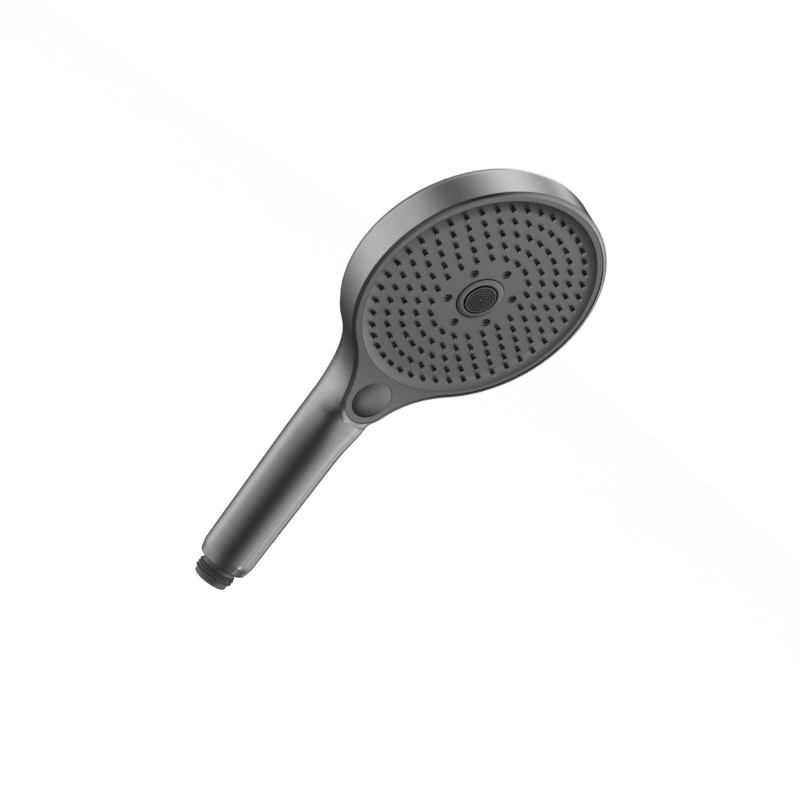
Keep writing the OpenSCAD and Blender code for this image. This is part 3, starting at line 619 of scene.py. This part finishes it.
def ease_tip(sections, opened, per):
    """Eases the shoulder where the neck's lip ends and the round handle begins."""
    reach, rounds, strength, edge_fade = 14, 12, 0.8, 8
    first = opened - reach - 1
    for _ in range(rounds):
        old = [list(s) for s in sections[first:opened + reach + 1]]
        for k in range(1, len(old) - 1):
            near = math.cos((k - reach - 0.5) / reach * math.pi / 2) ** 2
            for j in range(1, per - 1):
                share = strength * near * min(1.0, min(j, per - 1 - j) / edge_fade)
                mid = [(a + b) / 2 for a, b in zip(old[k - 1][j], old[k + 1][j])]
                sections[first + k][j] = tuple(mix(a, b, share) for a, b in zip(old[k][j], mid))


def shell():
    """Points, faces and each point's share of the way round its section, from lip to lip."""
    head_steps, hollow_steps, tip_steps, grip_steps, taper_steps = 110, 44, 44, 70, 8
    lip = [(HEAD, mix(first_angle, head_angle, k / head_steps)) for k in range(head_steps + 1)]
    lip += [(HOLLOW, mix(head_angle, tip_angle, k / hollow_steps) + 180)
            for k in range(1, hollow_steps + 1)]
    lip += [(TIP, mix(tip_angle, last_angle, k / tip_steps)) for k in range(1, tip_steps + 1)]
    heights = [mix(tip_height, taper_top, t * t * 0.5 + t * 0.5)
               for t in np.linspace(0, 1, grip_steps)]
    heights += [mix(taper_top, metal_end + end_round, t)
                for t in np.linspace(0, 1, taper_steps)[1:]]
    heights += [metal_end + end_round * (1 - u) for u in (0.2, 0.4, 0.6, 0.8, 0.92, 1.0)]
    per = 2 * HALF + 1

    def both(half):
        return half + [(-p[0], p[1], p[2]) for p in half[HALF - 1::-1]]

    def skin(inset):
        return [both(open_section(s, inset)) for s in lip] + \
            [both(closed_section(h, inset)) for h in heights]

    outer, inner = skin(0), skin(wall)
    opened, rows = len(lip), len(lip) + len(heights)
    ease_tip(outer, opened, per)
    pts, faces, us = [], [], []
    for section in outer + inner:
        for j, p in enumerate(section):
            pts.append(p)
            us.append(j / (per - 1))
    off = rows * per
    for i in range(rows - 1):
        for j in range(per - 1):
            a = i * per + j
            faces.append([a, a + 1, a + per + 1, a + per])
            c = off + a
            faces.append([c + per, c + per + 1, c + 1, c])
    for i in range(opened - 1, rows - 1):
        a = i * per
        b = a + per - 1
        faces.append([b, a, a + per, b + per])
        faces.append([off + b + per, off + a + per, off + a, off + b])

    # the lip: a chain of rounded points from the outer to the inner edge of each section's sides
    def chain(i, side):
        edge, below = ((0, 1), (per - 1, per - 2))[side]
        a, b = np.array(outer[i][edge]), np.array(inner[i][edge])
        across = (b - a) / np.linalg.norm(b - a)
        down_a, down_b = np.array(outer[i][below]) - a, np.array(inner[i][below]) - b
        down_a, down_b = down_a / np.linalg.norm(down_a), down_b / np.linalg.norm(down_b)
        row = [a + across * lip_round_out * (1 - t) ** 2 + down_a * lip_round_out * t ** 2
               for t in (0.75, 0.5, 0.25, 0.0)]
        row += [b - across * lip_round_in * (1 - t) ** 2 + down_b * lip_round_in * t ** 2
                for t in (0.0, 0.35, 0.7)]
        pts[i * per + edge] = tuple(a + down_a * lip_round_out)
        pts[off + i * per + edge] = tuple(b + down_b * lip_round_in)
        start = len(pts)
        pts.extend(tuple(p) for p in row)
        us.extend([float(side)] * len(row))
        return [i * per + edge] + list(range(start, len(pts))) + [off + i * per + edge]

    chains = [(chain(i, 0), chain(i, 1)) for i in range(opened)]

    def strip(a, b, turned=False):
        for a0, a1, b0, b1 in zip(a, a[1:], b, b[1:]):
            faces.append([a1, b1, b0, a0] if turned else [a0, b0, b1, a1])

    for here, following in zip(chains, chains[1:]):
        strip(here[0], following[0])
        strip(here[1], following[1], turned=True)
    # across the top of the head and across the tip, between the two sides' chains
    strip(*chains[0], turned=True)
    strip(*chains[-1])
    for j in range(HALF):
        faces.append([j + 1, j, per - 1 - j, per - 2 - j])
        faces.append([off + j, off + j + 1, off + per - 2 - j, off + per - 1 - j])
    # the ring at the handle's lower end
    end = (rows - 1) * per
    for j in range(per):
        a, b = end + j, end + (j + 1) % per
        faces.append([a, b, off + b, off + a])
    return pts, faces, us


def brush_uv(pts, faces, us):
    """Brushed lines run round the sections, so u is the way round and v the height."""
    brush_len = 60.0
    heights = [(FACE @ Vector(p)).z / brush_len for p in pts]
    uv = []
    for f in faces:
        u = [us[i] for i in f]
        wrap = max(u) - min(u) > 0.5
        uv.extend((us[i] + (1.0 if wrap and us[i] < 0.5 else 0.0), heights[i]) for i in f)
    return uv


v, f, us = shell()
make("shell", v, f, "head", [MAT["plated"]], ("rear_shell",), uv=brush_uv(v, f, us),
     sharp=38.0)


# ---------------- flat pieces with holes
def steep_faces(verts, faces, within, deep=-9.0):
    """1 for each face within a radius that stands nearly upright or lies deep; such faces get the
    near-black painted shade.
    """
    out = []
    for f in faces:
        a, b, c = (Vector(verts[i]) for i in f[:3])
        n = (b - a).cross(c - a)
        hidden = n.length > 0 and abs(n.z) < 0.6 * n.length or a.z < deep
        out.append(int(hidden and math.hypot(a.x, a.y) < within))
    return out


def sheet_with_holes(outline, holes, fill, inside, height, bottom, edge, hole_edge):
    """A solid sheet between height(x, y) and bottom(x, y), with rounded edges.

    outline and each of holes is a function that gives the loop's points at an inset. fill are
    points between the loops, and inside(x, y) says which triangles are kept."""
    flat, edges, loops = [], [], []
    for loop, width in [(outline, edge)] + [(hole, hole_edge) for hole in holes]:
        base = len(flat)
        flat.extend(Vector(p) for p in loop(width))
        n = len(flat) - base
        edges.extend((base + i, base + (i + 1) % n) for i in range(n))
        loops.append((loop, base, n, width))
    flat.extend(Vector(p) for p in fill)
    co, _, tris, orig = delaunay_2d_cdt(flat, edges, [], 0, 1e-5, True)[:4]
    where = {o: new for new, olds in enumerate(orig) for o in olds}
    verts = [(p.x, p.y, height(p.x, p.y)) for p in co]
    faces = []
    for t in tris:
        if inside(sum(co[i].x for i in t) / len(t), sum(co[i].y for i in t) / len(t)):
            faces.append(list(t))
    top_count = len(verts)
    verts += [(p.x, p.y, bottom(p.x, p.y)) for p in co]
    faces += [[i + top_count for i in reversed(f)] for f in faces]
    for loop, base, n, width in loops:
        first = [where[base + i] for i in range(n)]
        rings = [first]

        def ring(inset, level):
            rings.append(list(range(len(verts), len(verts) + n)))
            verts.extend((x, y, level(x, y)) for x, y in loop(inset))

        for t in (0.3, 0.6, 0.85, 1.0):
            drop = width * (1 - math.sqrt(max(0.0, 1 - t * t)))
            ring(width * (1 - t), lambda x, y: height(x, y) - drop)
        ring(0.0, bottom)
        rings.append([i + top_count for i in first])
        faces.extend(band(rings, n))
    return strip_unused(verts, faces)


def strip_unused(verts, faces):
    used = sorted({i for f in faces for i in f})
    back = {o: n for n, o in enumerate(used)}
    return [verts[i] for i in used], [[back[i] for i in f] for f in faces]


def hex_points(x0, x1, y0, y1, pitch):
    """Points in rows, each row moved by half a pitch against the last."""
    out = []
    row, y = 0, y0
    while y < y1:
        x = x0 + (pitch / 2 if row % 2 else 0)
        while x < x1:
            out.append((x, y))
            x += pitch
        y += pitch * 0.866
        row += 1
    return out


def nearest(points):
    """A function of x and y that gives the number and the distance of the nearest point."""
    tree = kdtree.KDTree(len(points))
    for i, (x, y) in enumerate(points):
        tree.insert((x, y, 0), i)
    tree.balance()
    return lambda x, y: tree.find((x, y, 0))[1:]


NOZZLES = []
for k in range(ring_count):
    ring_r, count = inner_ring_r + k * ring_pitch, inner_nozzles + k * ring_gain
    NOZZLES += loop_points(0, 0, ring_r, count, math.pi / 2)
JETS = loop_points(0, 0, jet_circle_r, jet_count, math.pi / 2)


def dish_share(x, y):
    return max(0.0, (math.hypot(x, y) - dish_from) / (plate_r - dish_from))


def dish_z(x, y):
    return dish_rise * dish_share(x, y) ** 2


def dish_normal(x, y, z):
    r = math.hypot(x, y)
    if z < -1.5 or r > plate_r - 0.05:
        return None
    rate = 2 * dish_rise * dish_share(x, y) / (plate_r - dish_from) / max(r, 1e-6)
    return tuple(Vector((-rate * x, -rate * y, 1)).normalized())


# spray plate
hole_r = nozzle_d / 2 + 0.03
nearest_outlet = nearest(NOZZLES + JETS)


def hole_gap(x, y):
    number, dist = nearest_outlet(x, y)
    return dist - (hole_r if number < len(NOZZLES) else jet_d / 2)


plate_edge, hole_edge, clear = 0.12, 0.1, 0.35
fill = [p for p in hex_points(-62, 62, -62, 62, 1.15)
        if insert_r + 0.8 < math.hypot(*p) < dish_from - 0.4 and hole_gap(*p) > clear]
for r in np.arange(dish_from, plate_r - 0.2, 0.5):
    ring = loop_points(0, 0, r, int(2 * math.pi * r / 0.85), r)
    fill += [p for p in ring if hole_gap(*p) > clear]


def plate_inside(x, y):
    return insert_r + seat_gap < math.hypot(x, y) < plate_r and hole_gap(x, y) > 0


holes = [lambda w, c=c: loop_points(*c, hole_r + w, 24) for c in NOZZLES]
holes += [lambda w, c=c: loop_points(*c, jet_d / 2 + w, 40) for c in JETS]
holes += [lambda w: loop_points(0, 0, insert_r + seat_gap + w, 160)]
sheet = sheet_with_holes(lambda w: loop_points(0, 0, plate_r - w, 480), holes, fill, plate_inside,
                         dish_z, lambda x, y: -plate_t, plate_edge, hole_edge)
under = lathe([(plate_r, -plate_t), (plate_r, mat_z), (chamber_r + seat_gap, mat_z),
               (chamber_r + seat_gap, -plate_t)], 240)
v, f = merge([sheet, under])
make("spray_face", v, f, "head", [MAT["face"]], ("spray_plate",), top=dish_normal)

# nozzles on their mat: a tapered body, a rounded tip and the bore
foot, tip, bore = nozzle_d / 2, nozzle_tip_d / 2, nozzle_bore_d / 2
NOZZLE = [(0.0, -1.9), (foot, -1.9), (foot, -0.1), (foot - 0.02, 0.3), (mix(foot, tip, 0.45), 1.2),
          (tip + 0.02, nozzle_h - 0.3), (tip, nozzle_h - 0.1), (tip - 0.01, nozzle_h - 0.05),
          (tip - 0.04, nozzle_h - 0.01), (tip - 0.09, nozzle_h), (bore + 0.14, nozzle_h - 0.01),
          (bore + 0.04, nozzle_h - 0.04), (bore, nozzle_h - 0.12), (bore, 1.0), (0.0, 1.0)]
parts = [lathe(NOZZLE, 24, c, closed=False) for c in NOZZLES]
# the faces on top of each tip get the lighter rubber_tip material: painted light
shade = [int(min(part[0][i][2] for i in g) > nozzle_h - 0.06) for part in parts for g in part[1]]
parts.append(lathe(rounded([(jet_zone_out + 0.4, mat_z), (chamber_r, mat_z), (chamber_r, -plate_t),
                            (jet_zone_out + 0.4, -plate_t)], 0.1), 180))
shade += [0] * len(parts[-1][1])
v, f = merge(parts)
make("nozzles", v, f, "head", [MAT["rubber"], MAT["rubber_tip"]],
     ("nozzle_mat",), face_mat=shade)

# pulse jets: cups with two steps on their ring; the steps' walls and the bottom get the near-black
# painted shade
cup, cup_floor = jet_d / 2, -1.5
CUP = [(0.6, mat_z + 0.1), (cup - 0.06, mat_z + 0.1), (cup - 0.06, -0.14), (cup - 0.1, -0.07),
       (cup - 0.17, -0.06), (cup - 0.22, -0.12), (cup - 0.24, -0.46), (cup - 0.3, -0.51),
       (cup - 0.95, -0.7), (cup - 1.03, -0.77), (cup - 1.07, -1.4), (cup - 1.12, -1.48),
       (cup - 1.22, cup_floor), (0.7, cup_floor), (0.63, -1.54), (0.6, -1.65)]
parts, shade = [], []
for c in JETS:
    verts, faces = lathe(CUP, 40, c)
    parts.append((verts, faces))
    for g in faces:
        rs = [math.hypot(verts[i][0] - c[0], verts[i][1] - c[1]) for i in g]
        zs = [verts[i][2] for i in g]
        steep = max(zs) - min(zs) > 3 * (max(rs) - min(rs))
        shade.append(int(steep or max(zs) < cup_floor))
parts.append(lathe(rounded([(jet_zone_in - 0.8, mat_z), (jet_zone_out + 0.3, mat_z),
                            (jet_zone_out + 0.3, -plate_t), (jet_zone_in - 0.8, -plate_t)],
                           0.1), 144))
shade += [0] * len(parts[-1][1])
v, f = merge(parts)
make("jet_cups", v, f, "head", [MAT["face"], MAT["shadow"]], ("jet_ring",),
     face_mat=shade)

# centre insert: a crowned rim round the well that the screen stands in
seat, rim_out = -0.4, insert_r - 0.24
well_r = screen_r + 0.7
crown_r = well_r + 0.1
CROWN = []
for k in range(13):
    r = mix(insert_r - 0.32, crown_r, k / 12)
    CROWN.append((r, insert_top - crown_fall * ((r - crown_r) / (insert_r - crown_r)) ** 2))
INSERT = [(insert_r, mat_z), (insert_r, -0.9), (rim_out, -0.8), (rim_out, 0.12),
          (rim_out - 0.03, 0.2)] + CROWN
INSERT += [(well_r + 0.05, 0.83), (well_r + 0.01, 0.78), (well_r, 0.7), (well_r, seat + 0.1),
           (well_r - 0.1, seat), (screen_r - 1.1, seat), (screen_r - 1.1, mat_z)]
v, f = lathe(INSERT, 180)
# the well's upright walls and the groove floor get the near-black material: painted shade
make("centre_insert_bevel", v, f, "head", [MAT["face"], MAT["shadow"]],
     ("centre_insert",), face_mat=steep_faces(v, f, well_r + 0.2, seat + 0.2))

# fine screen: a slightly domed disc with rings of small holes, on a skirt
screen_rings, pore_r, disc_r = 5, 0.53, screen_r - 0.25
screen_top, screen_fall, screen_under = 1.26, 0.12, 0.55
pitch = (screen_r - 1.55) / screen_rings
PORES = []
for k in range(1, screen_rings + 1):
    PORES += loop_points(0, 0, k * pitch, 6 * k + 1)
nearest_pore = nearest(PORES)


def screen_z(x, y):
    return screen_top - screen_fall * (math.hypot(x, y) / screen_r) ** 2


fill = [p for p in hex_points(-9, 9, -9, 9, 0.4)
        if math.hypot(*p) < disc_r - 0.3 and nearest_pore(*p)[1] > pore_r + 0.12]
sheet = sheet_with_holes(lambda w: loop_points(0, 0, disc_r - w, 120),
                         [lambda w, c=c: loop_points(*c, pore_r + w, 18) for c in PORES], fill,
                         lambda x, y: math.hypot(x, y) < disc_r and nearest_pore(x, y)[1] > pore_r,
                         screen_z, lambda x, y: screen_under, 0.08, 0.03)
skirt = lathe([(disc_r, seat), (disc_r, screen_under), (disc_r - 1, screen_under),
               (disc_r - 1, seat)], 120)
v, f = merge([sheet, skirt])
# the pores' walls and the upright sides of sheet and skirt get the near-black material: painted
# shade
make("mesh_screen", v, f, "head", [MAT["screen"], MAT["shadow"]], ("spray_screen",),
     face_mat=steep_faces(v, f, screen_r + 1))


# bezel: a teardrop sheet with the plate's and the button's holes
def neck_z(x, y):
    return face_top + rise(y)


def bezel_loop(w):
    """The bezel's outline, moved in by w."""
    inset = bezel_in + w
    half = [(0.0, head_r - inset)]
    half += [lip_point((HEAD, mix(90, head_angle, k / 140)), inset) for k in range(1, 141)]
    half += [lip_point((HOLLOW, mix(head_angle, tip_angle, k / 49) + 180), inset)
             for k in range(1, 50)]
    half += [lip_point((TIP, mix(tip_angle, -90, k / 60)), inset) for k in range(1, 60)]
    half.append((0.0, -button_offset - tip_r + inset))
    return half + [(-x, y) for x, y in half[-2:0:-1]]


OUTLINE = np.array(bezel_loop(0.0))
button_hole, bezel_t = button_r + button_gap, 2.2


def in_outline(x, y):
    """Crossing count against the bezel's outline."""
    (ax, ay), (bx, by) = OUTLINE.T, np.roll(OUTLINE, -1, axis=0).T
    crossed = (ay > y) != (by > y)
    xs = ax + (y - ay) * (bx - ax) / np.where(by == ay, 1e-9, by - ay)
    return bool(np.count_nonzero(crossed & (x < xs)) % 2)


def bezel_gap(x, y):
    """Distance to the outline, and 0 outside it."""
    if not in_outline(x, y):
        return 0.0
    return float(np.min(np.hypot(OUTLINE[:, 0] - x, OUTLINE[:, 1] - y)))


def bezel_inside(x, y):
    return math.hypot(x, y) > plate_r + seat_gap and in_outline(x, y) \
        and math.hypot(x, y + button_offset) > button_hole


def neck_normal(x, y, z):
    if z < neck_z(x, y) - 0.004:
        return None
    return tuple(Vector((0, -rise_slope(y), 1)).normalized())


fill = [p for out in (0.9, 1.7) for p in loop_points(0, 0, plate_r + out, 470)
        if bezel_gap(*p) > 0.6]
fill += [(x, y) for x, y in hex_points(-45, 45, -93, -42, 1.0)
         if math.hypot(x, y) > plate_r + 1.2 and bezel_gap(x, y) > 0.75
         and math.hypot(x, y + button_offset) > button_hole + 0.55]
sheet = sheet_with_holes(bezel_loop,
                         [lambda w: loop_points(0, 0, plate_r + seat_gap + w, 480),
                          lambda w: loop_points(0, -button_offset, button_hole + w, 160)],
                         fill, bezel_inside, neck_z, lambda x, y: neck_z(x, y) - bezel_t,
                         0.16, 0.05)
tube = lathe([(button_hole, -5.2), (button_hole + 1.1, -5.2), (button_hole + 1.1, 0.3),
              (button_hole, 0.3)], 96, (0, -button_offset))
ledge = lathe([(plate_r + 1.2, mat_z - 1.4), (plate_r + 1.2, mat_z), (chamber_r + seat_gap, mat_z),
               (chamber_r + seat_gap, mat_z - 1.4)], 240)
skirt = lathe([(plate_r + 0.5, mat_z - 1.3), (plate_r + 1.6, mat_z - 1.3),
               (plate_r + 1.6, face_top - 1.0), (plate_r + 0.5, face_top - 1.0)], 240)
v, f = merge([sheet, tube, ledge, skirt])
make("face_bezel", v, f, "head", [MAT["bezel"]], ("front_bezel",), top=neck_normal)

# thumb button: a low dome that follows the neck's slope
slope = math.atan(-rise_slope(-button_offset))
dome_top = face_top + rise(-button_offset) + button_crown


def dome_at(x, y):
    """Height of the button: nearly flat in the middle, steeper towards its edge."""
    r = math.hypot(x, y + button_offset)
    q = (r / button_r) ** 2
    fall = button_crown * (0.65 * q + 0.35 * q * q)
    return dome_top - math.tan(slope) * (y + button_offset) - fall


def button(steps=180):
    """The button's dome with its rounded edge, its skirt and its hollow underside."""
    rings = [(button_r * t, 0.0) for t in np.linspace(0.04, 0.985, 26)]
    rings += [(button_r - button_round * (1 - t), button_round * (1 - math.sqrt(1 - t * t)))
              for t in (0.0, 0.3, 0.6, 0.85, 1.0)]
    verts, faces_of = [(0, -button_offset, dome_at(0, -button_offset))], [[0] * steps]

    def ring(r, level):
        faces_of.append(list(range(len(verts), len(verts) + steps)))
        verts.extend((x, y, level(x, y)) for x, y in loop_points(0, -button_offset, r, steps))

    for r, drop in rings:
        ring(r, lambda x, y: dome_at(x, y) - drop)
    for r, z in ((button_r, button_skirt), (button_r - button_wall, button_skirt),
                 (button_r - button_wall, under_button)):
        ring(r, lambda x, y: z)
    faces_of.append([len(verts)] * steps)
    verts.append((0, -button_offset, under_button))
    return verts, band(faces_of, steps)


v, f = button()
make("thumb_button", v, f, "button", [MAT["button"]], ("push_button",))


# the wave spring under the button, which flattens on the valve's lid as the button goes down
def wave_spring(steps=72):
    """A flat strip in turns that wave up and down, so that the crests meet the troughs."""
    end_gap = spring_wave + strip_t / 2 + 0.02
    low, high = lid_top + end_gap, under_button - end_gap
    count = spring_turns * steps
    verts, faces = [], []
    for k in range(count + 1):
        a = 2 * math.pi * k / steps
        z = mix(low, high, k / count) + spring_wave * math.cos(spring_waves * a)
        for r, h in ((-1, -1), (1, -1), (1, 1), (-1, 1)):
            q = spring_r + r * strip_w / 2
            verts.append((q * math.cos(a), q * math.sin(a) - button_offset, z + h * strip_t / 2))
    for k in range(count):
        for j in range(4):
            n = (j + 1) % 4
            faces.append([4 * k + j, 4 * k + n, 4 * k + 4 + n, 4 * k + 4 + j])
    faces += [[3, 2, 1, 0], [4 * count + j for j in range(4)]]
    return verts, faces


v, f = wave_spring()
spring = make("wave_spring", v, f, "head", [MAT["steel"]], ("return_spring",))
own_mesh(spring)


# ---------------- inlet with its thread
def thread(steps=96, per_pitch=24):
    """The thread's skin from z_a to z_b: rounded teeth that fade in and out at their ends."""
    crest = thread_d / 2
    core = crest - 0.64 * thread_pitch
    z_a = pilot_len + 0.2
    z_b = z_a + 0.1 + 3 * thread_pitch
    fade_in, fade_out = 0.55, 0.8
    verts, rows = [], []
    for k in range(-per_pitch, int((z_b - z_a) / thread_pitch * per_pitch) + 3 * per_pitch):
        rows.append(list(range(len(verts), len(verts) + steps + 1)))
        tooth = smooth(0.08, 0.92, abs((k / per_pitch % 1.0) - 0.5) * 2)
        for i in range(steps + 1):
            z = z_a + thread_pitch * (k / per_pitch + i / steps)
            fade = smooth(z_a, z_a + fade_in, z) * (1 - smooth(z_b - fade_out, z_b, z))
            r = core + (crest - core) * tooth * fade
            a = 2 * math.pi * i / steps
            verts.append((r * math.cos(a), r * math.sin(a), min(z_b, max(z_a, z))))
    faces = [[a[i], a[i + 1], b[i + 1], b[i]] for a, b in zip(rows, rows[1:]) for i in range(steps)]
    return verts, faces, z_a, z_b, core


def welded(verts, faces, dist):
    """The same faces with points closer than dist joined, and without what that leaves flat."""
    bm = bmesh.new()
    points = [bm.verts.new(p) for p in verts]
    for g in faces:
        bm.faces.new([points[i] for i in g])
    bmesh.ops.remove_doubles(bm, verts=bm.verts, dist=dist)
    bmesh.ops.dissolve_degenerate(bm, edges=bm.edges, dist=0.0005)
    flat = [g for g in bm.faces if g.calc_area() < 1e-7]
    bmesh.ops.delete(bm, geom=flat, context="FACES")
    loose = [p for p in bm.verts if not p.link_faces]
    bmesh.ops.delete(bm, geom=loose, context="VERTS")
    bm.verts.index_update()
    out = [tuple(p.co) for p in bm.verts], [[p.index for p in g.verts] for g in bm.faces]
    bm.free()
    return out


def inlet():
    """The threaded pilot, the collar under the handle's end and the water tube's socket."""
    verts, faces, z_a, z_b, core = thread()
    bore, tube_r = inlet_bore_d / 2, tube_d / 2
    collar_r = grip_end_d / 2 - wall + 0.35
    low = metal_end + collar_in
    high = low + collar_len
    body_r = tube_r + socket_wall
    top = socket_low + socket_len
    profile = [(core, z_a), (pilot_r + 0.05, z_a - 0.12), (pilot_r, z_a - 0.3), (pilot_r, 0.55),
               (pilot_r - 0.12, 0.22), (pilot_r - 0.32, 0.05), (pilot_r - 0.55, 0.0),
               (bore + 0.35, 0.0), (bore + 0.15, 0.06), (bore, 0.25), (bore, bore_depth),
               (tube_r - tube_wall, bore_depth), (tube_r - tube_wall, socket_low),
               (tube_r + run_gap, socket_low), (tube_r + run_gap, top), (body_r - 0.2, top),
               (body_r, top - 0.2), (body_r, high), (collar_r - 0.2, high), (collar_r, high - 0.2),
               (collar_r, low + 0.15), (collar_r - 0.15, low), (pilot_r + 0.2, low),
               (pilot_r, low - 0.2), (pilot_r, z_b + 0.5), (pilot_r + 0.02, z_b + 0.15),
               (core, z_b)]
    return welded(*merge([welded(verts, faces, 0.0005), lathe(profile, 96, closed=False)]), 0.004)


v, f = inlet()
make("threaded_inlet", v, f, "head", [MAT["inlet"]], ("inlet_connector",),
     faced=False, sharp=40.0)

# ---------------- finishes of the carried-over nodes
FINISH = {
    "core": ["chamber_body", "valve_body", "valve_lid"],
    "pale": ["waterway_plugs", "water_tube", "flow_limiter"],
    "acetal": ["turbine", "valve_drum", "ratchet_ring", "button_stem"],
    "seal": ["chamber_seal", "port_seals", "spindle_seal", "tube_o_rings", "limiter_o_ring"],
    "steel": ["drive_sleeve", "pawl_spring", "retaining_ring", "inlet_strainer",
              "fixing_screws"],
}
for key, names in FINISH.items():
    for node in names:
        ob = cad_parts[node]
        if not ob.material_slots:
            ob.data.materials.append(MAT[key])
        for s in ob.material_slots:
            s.material = MAT[key]

# ---------------- floor, world and lamps
floor_me = bpy.data.meshes.new("floor")
floor_half, floor_z = 6, -0.3
floor_me.from_pydata([(x * floor_half, y * floor_half, floor_z)
                      for x, y in ((-1, -1), (1, -1), (1, 1), (-1, 1))], [], [[0, 1, 2, 3]])
floor = place(bpy.data.objects.new("floor", floor_me))
m, nt, b = new_material("floor_pale", {"Roughness": 0.9, "Specular IOR Level": 0.1})
lp = add(nt, "ShaderNodeLightPath")
out = next(n for n in nt.nodes if n.type == "OUTPUT_MATERIAL")
spots = noise(nt, coords(nt), 3.0, 2.0)
nt.links.new(shades(nt, spots, [1.0] * 3, 0.84, 0.88), b.inputs["Base Color"])
# seen straight on, the floor is white except where the object's shadow falls
glow = add(nt, "ShaderNodeEmission")
nt.links.new(math_node(nt, "MULTIPLY", lp.outputs["Is Camera Ray"], 0.7), glow.inputs["Strength"])
both = add(nt, "ShaderNodeAddShader")
nt.links.new(b.outputs[0], both.inputs[0])
nt.links.new(glow.outputs[0], both.inputs[1])
nt.links.new(both.outputs[0], out.inputs["Surface"])
floor_me.materials.append(m)
floor.visible_glossy = False

world = bpy.data.worlds.new("studio")
bpy.context.scene.world = world
world.use_nodes = True
wt = world.node_tree
wt.nodes.clear()
w_out = add(wt, "ShaderNodeOutputWorld")
# the camera sees white; surfaces see the studio's soft boxes
white = add(wt, "ShaderNodeBackground", {"Color": (1, 1, 1, 1)})
studio = add(wt, "ShaderNodeBackground")
pick = add(wt, "ShaderNodeMixShader")
wt.links.new(add(wt, "ShaderNodeLightPath").outputs["Is Camera Ray"], pick.inputs["Fac"])
wt.links.new(studio.outputs[0], pick.inputs[1])
wt.links.new(white.outputs[0], pick.inputs[2])
wt.links.new(pick.outputs[0], w_out.inputs["Surface"])
look = add(wt, "ShaderNodeTexCoord").outputs["Generated"]


def soft_box(direction, spread, strength):
    """A soft light: strength along its direction, falling off as a bell over spread degrees."""
    dot = add(wt, "ShaderNodeVectorMath", {1: Vector(direction).normalized()},
              operation="DOT_PRODUCT")
    wt.links.new(look, dot.inputs[0])
    fall = 1 / math.radians(spread) ** 2
    power = math_node(wt, "MULTIPLY", math_node(wt, "SUBTRACT", dot.outputs["Value"], 1.0), fall)
    return math_node(wt, "MULTIPLY", math_node(wt, "EXPONENT", power), strength)


to_cam = Vector((-cam_ahead.x, -cam_ahead.y, 0)).normalized()
side_dir = Vector((-to_cam.y, to_cam.x, 0))


def heading(angle, up):
    """Direction at an angle from the way to the camera, anticlockwise seen from above."""
    a = math.radians(angle)
    h = to_cam * math.cos(a) + side_dir * math.sin(a)
    u = math.radians(up)
    return h * math.cos(u) + Vector((0, 0, math.sin(u)))


# soft boxes: where from, spread in degrees and strength; the last but one is a dark flag
BOXES = [
    (heading(-108, -9), 20, 0.95),
    (heading(-65, -32), 26, 0.48),
    (heading(105, -5), 12, 1.03),
    (heading(132, -10), 8, 0.81),
    (heading(-143, 55), 15, 1.43),
    (heading(187, 29), 7, 2.2),
    (heading(81, -27), 4, 2.2),
    (heading(72, -4), 22, 0.55),
    (heading(-97, 17), 10, 0.53),
    (heading(102, 37), 22, 0.41),
    (heading(48, 6), 9, -0.36),
    (heading(150, -25), 8, 0.4),
]
total = 0.034
for box in BOXES:
    total = math_node(wt, "ADD", soft_box(*box), total)
wt.links.new(math_node(wt, "MAXIMUM", total, 0.0), studio.inputs["Color"])


def lamp(name, direction, dist, size, power):
    """A round lamp at a distance in metres from the middle of the object, for matt surfaces."""
    d = bpy.data.lights.new(name, "AREA")
    d.shape = "DISK"
    d.size = size
    d.energy = power
    ob = place(bpy.data.objects.new(name, d))
    mid = Vector((0, -0.02, 0.14))
    ob.location = mid + Vector(direction).normalized() * dist
    ob.rotation_euler = (mid - ob.location).to_track_quat("-Z", "Y").to_euler()
    ob.visible_glossy = False


lamp("lamp_key", heading(-40, 55), 1.2, 0.9, 7)
lamp("lamp_fill", heading(50, 25), 1.4, 1.0, 5)
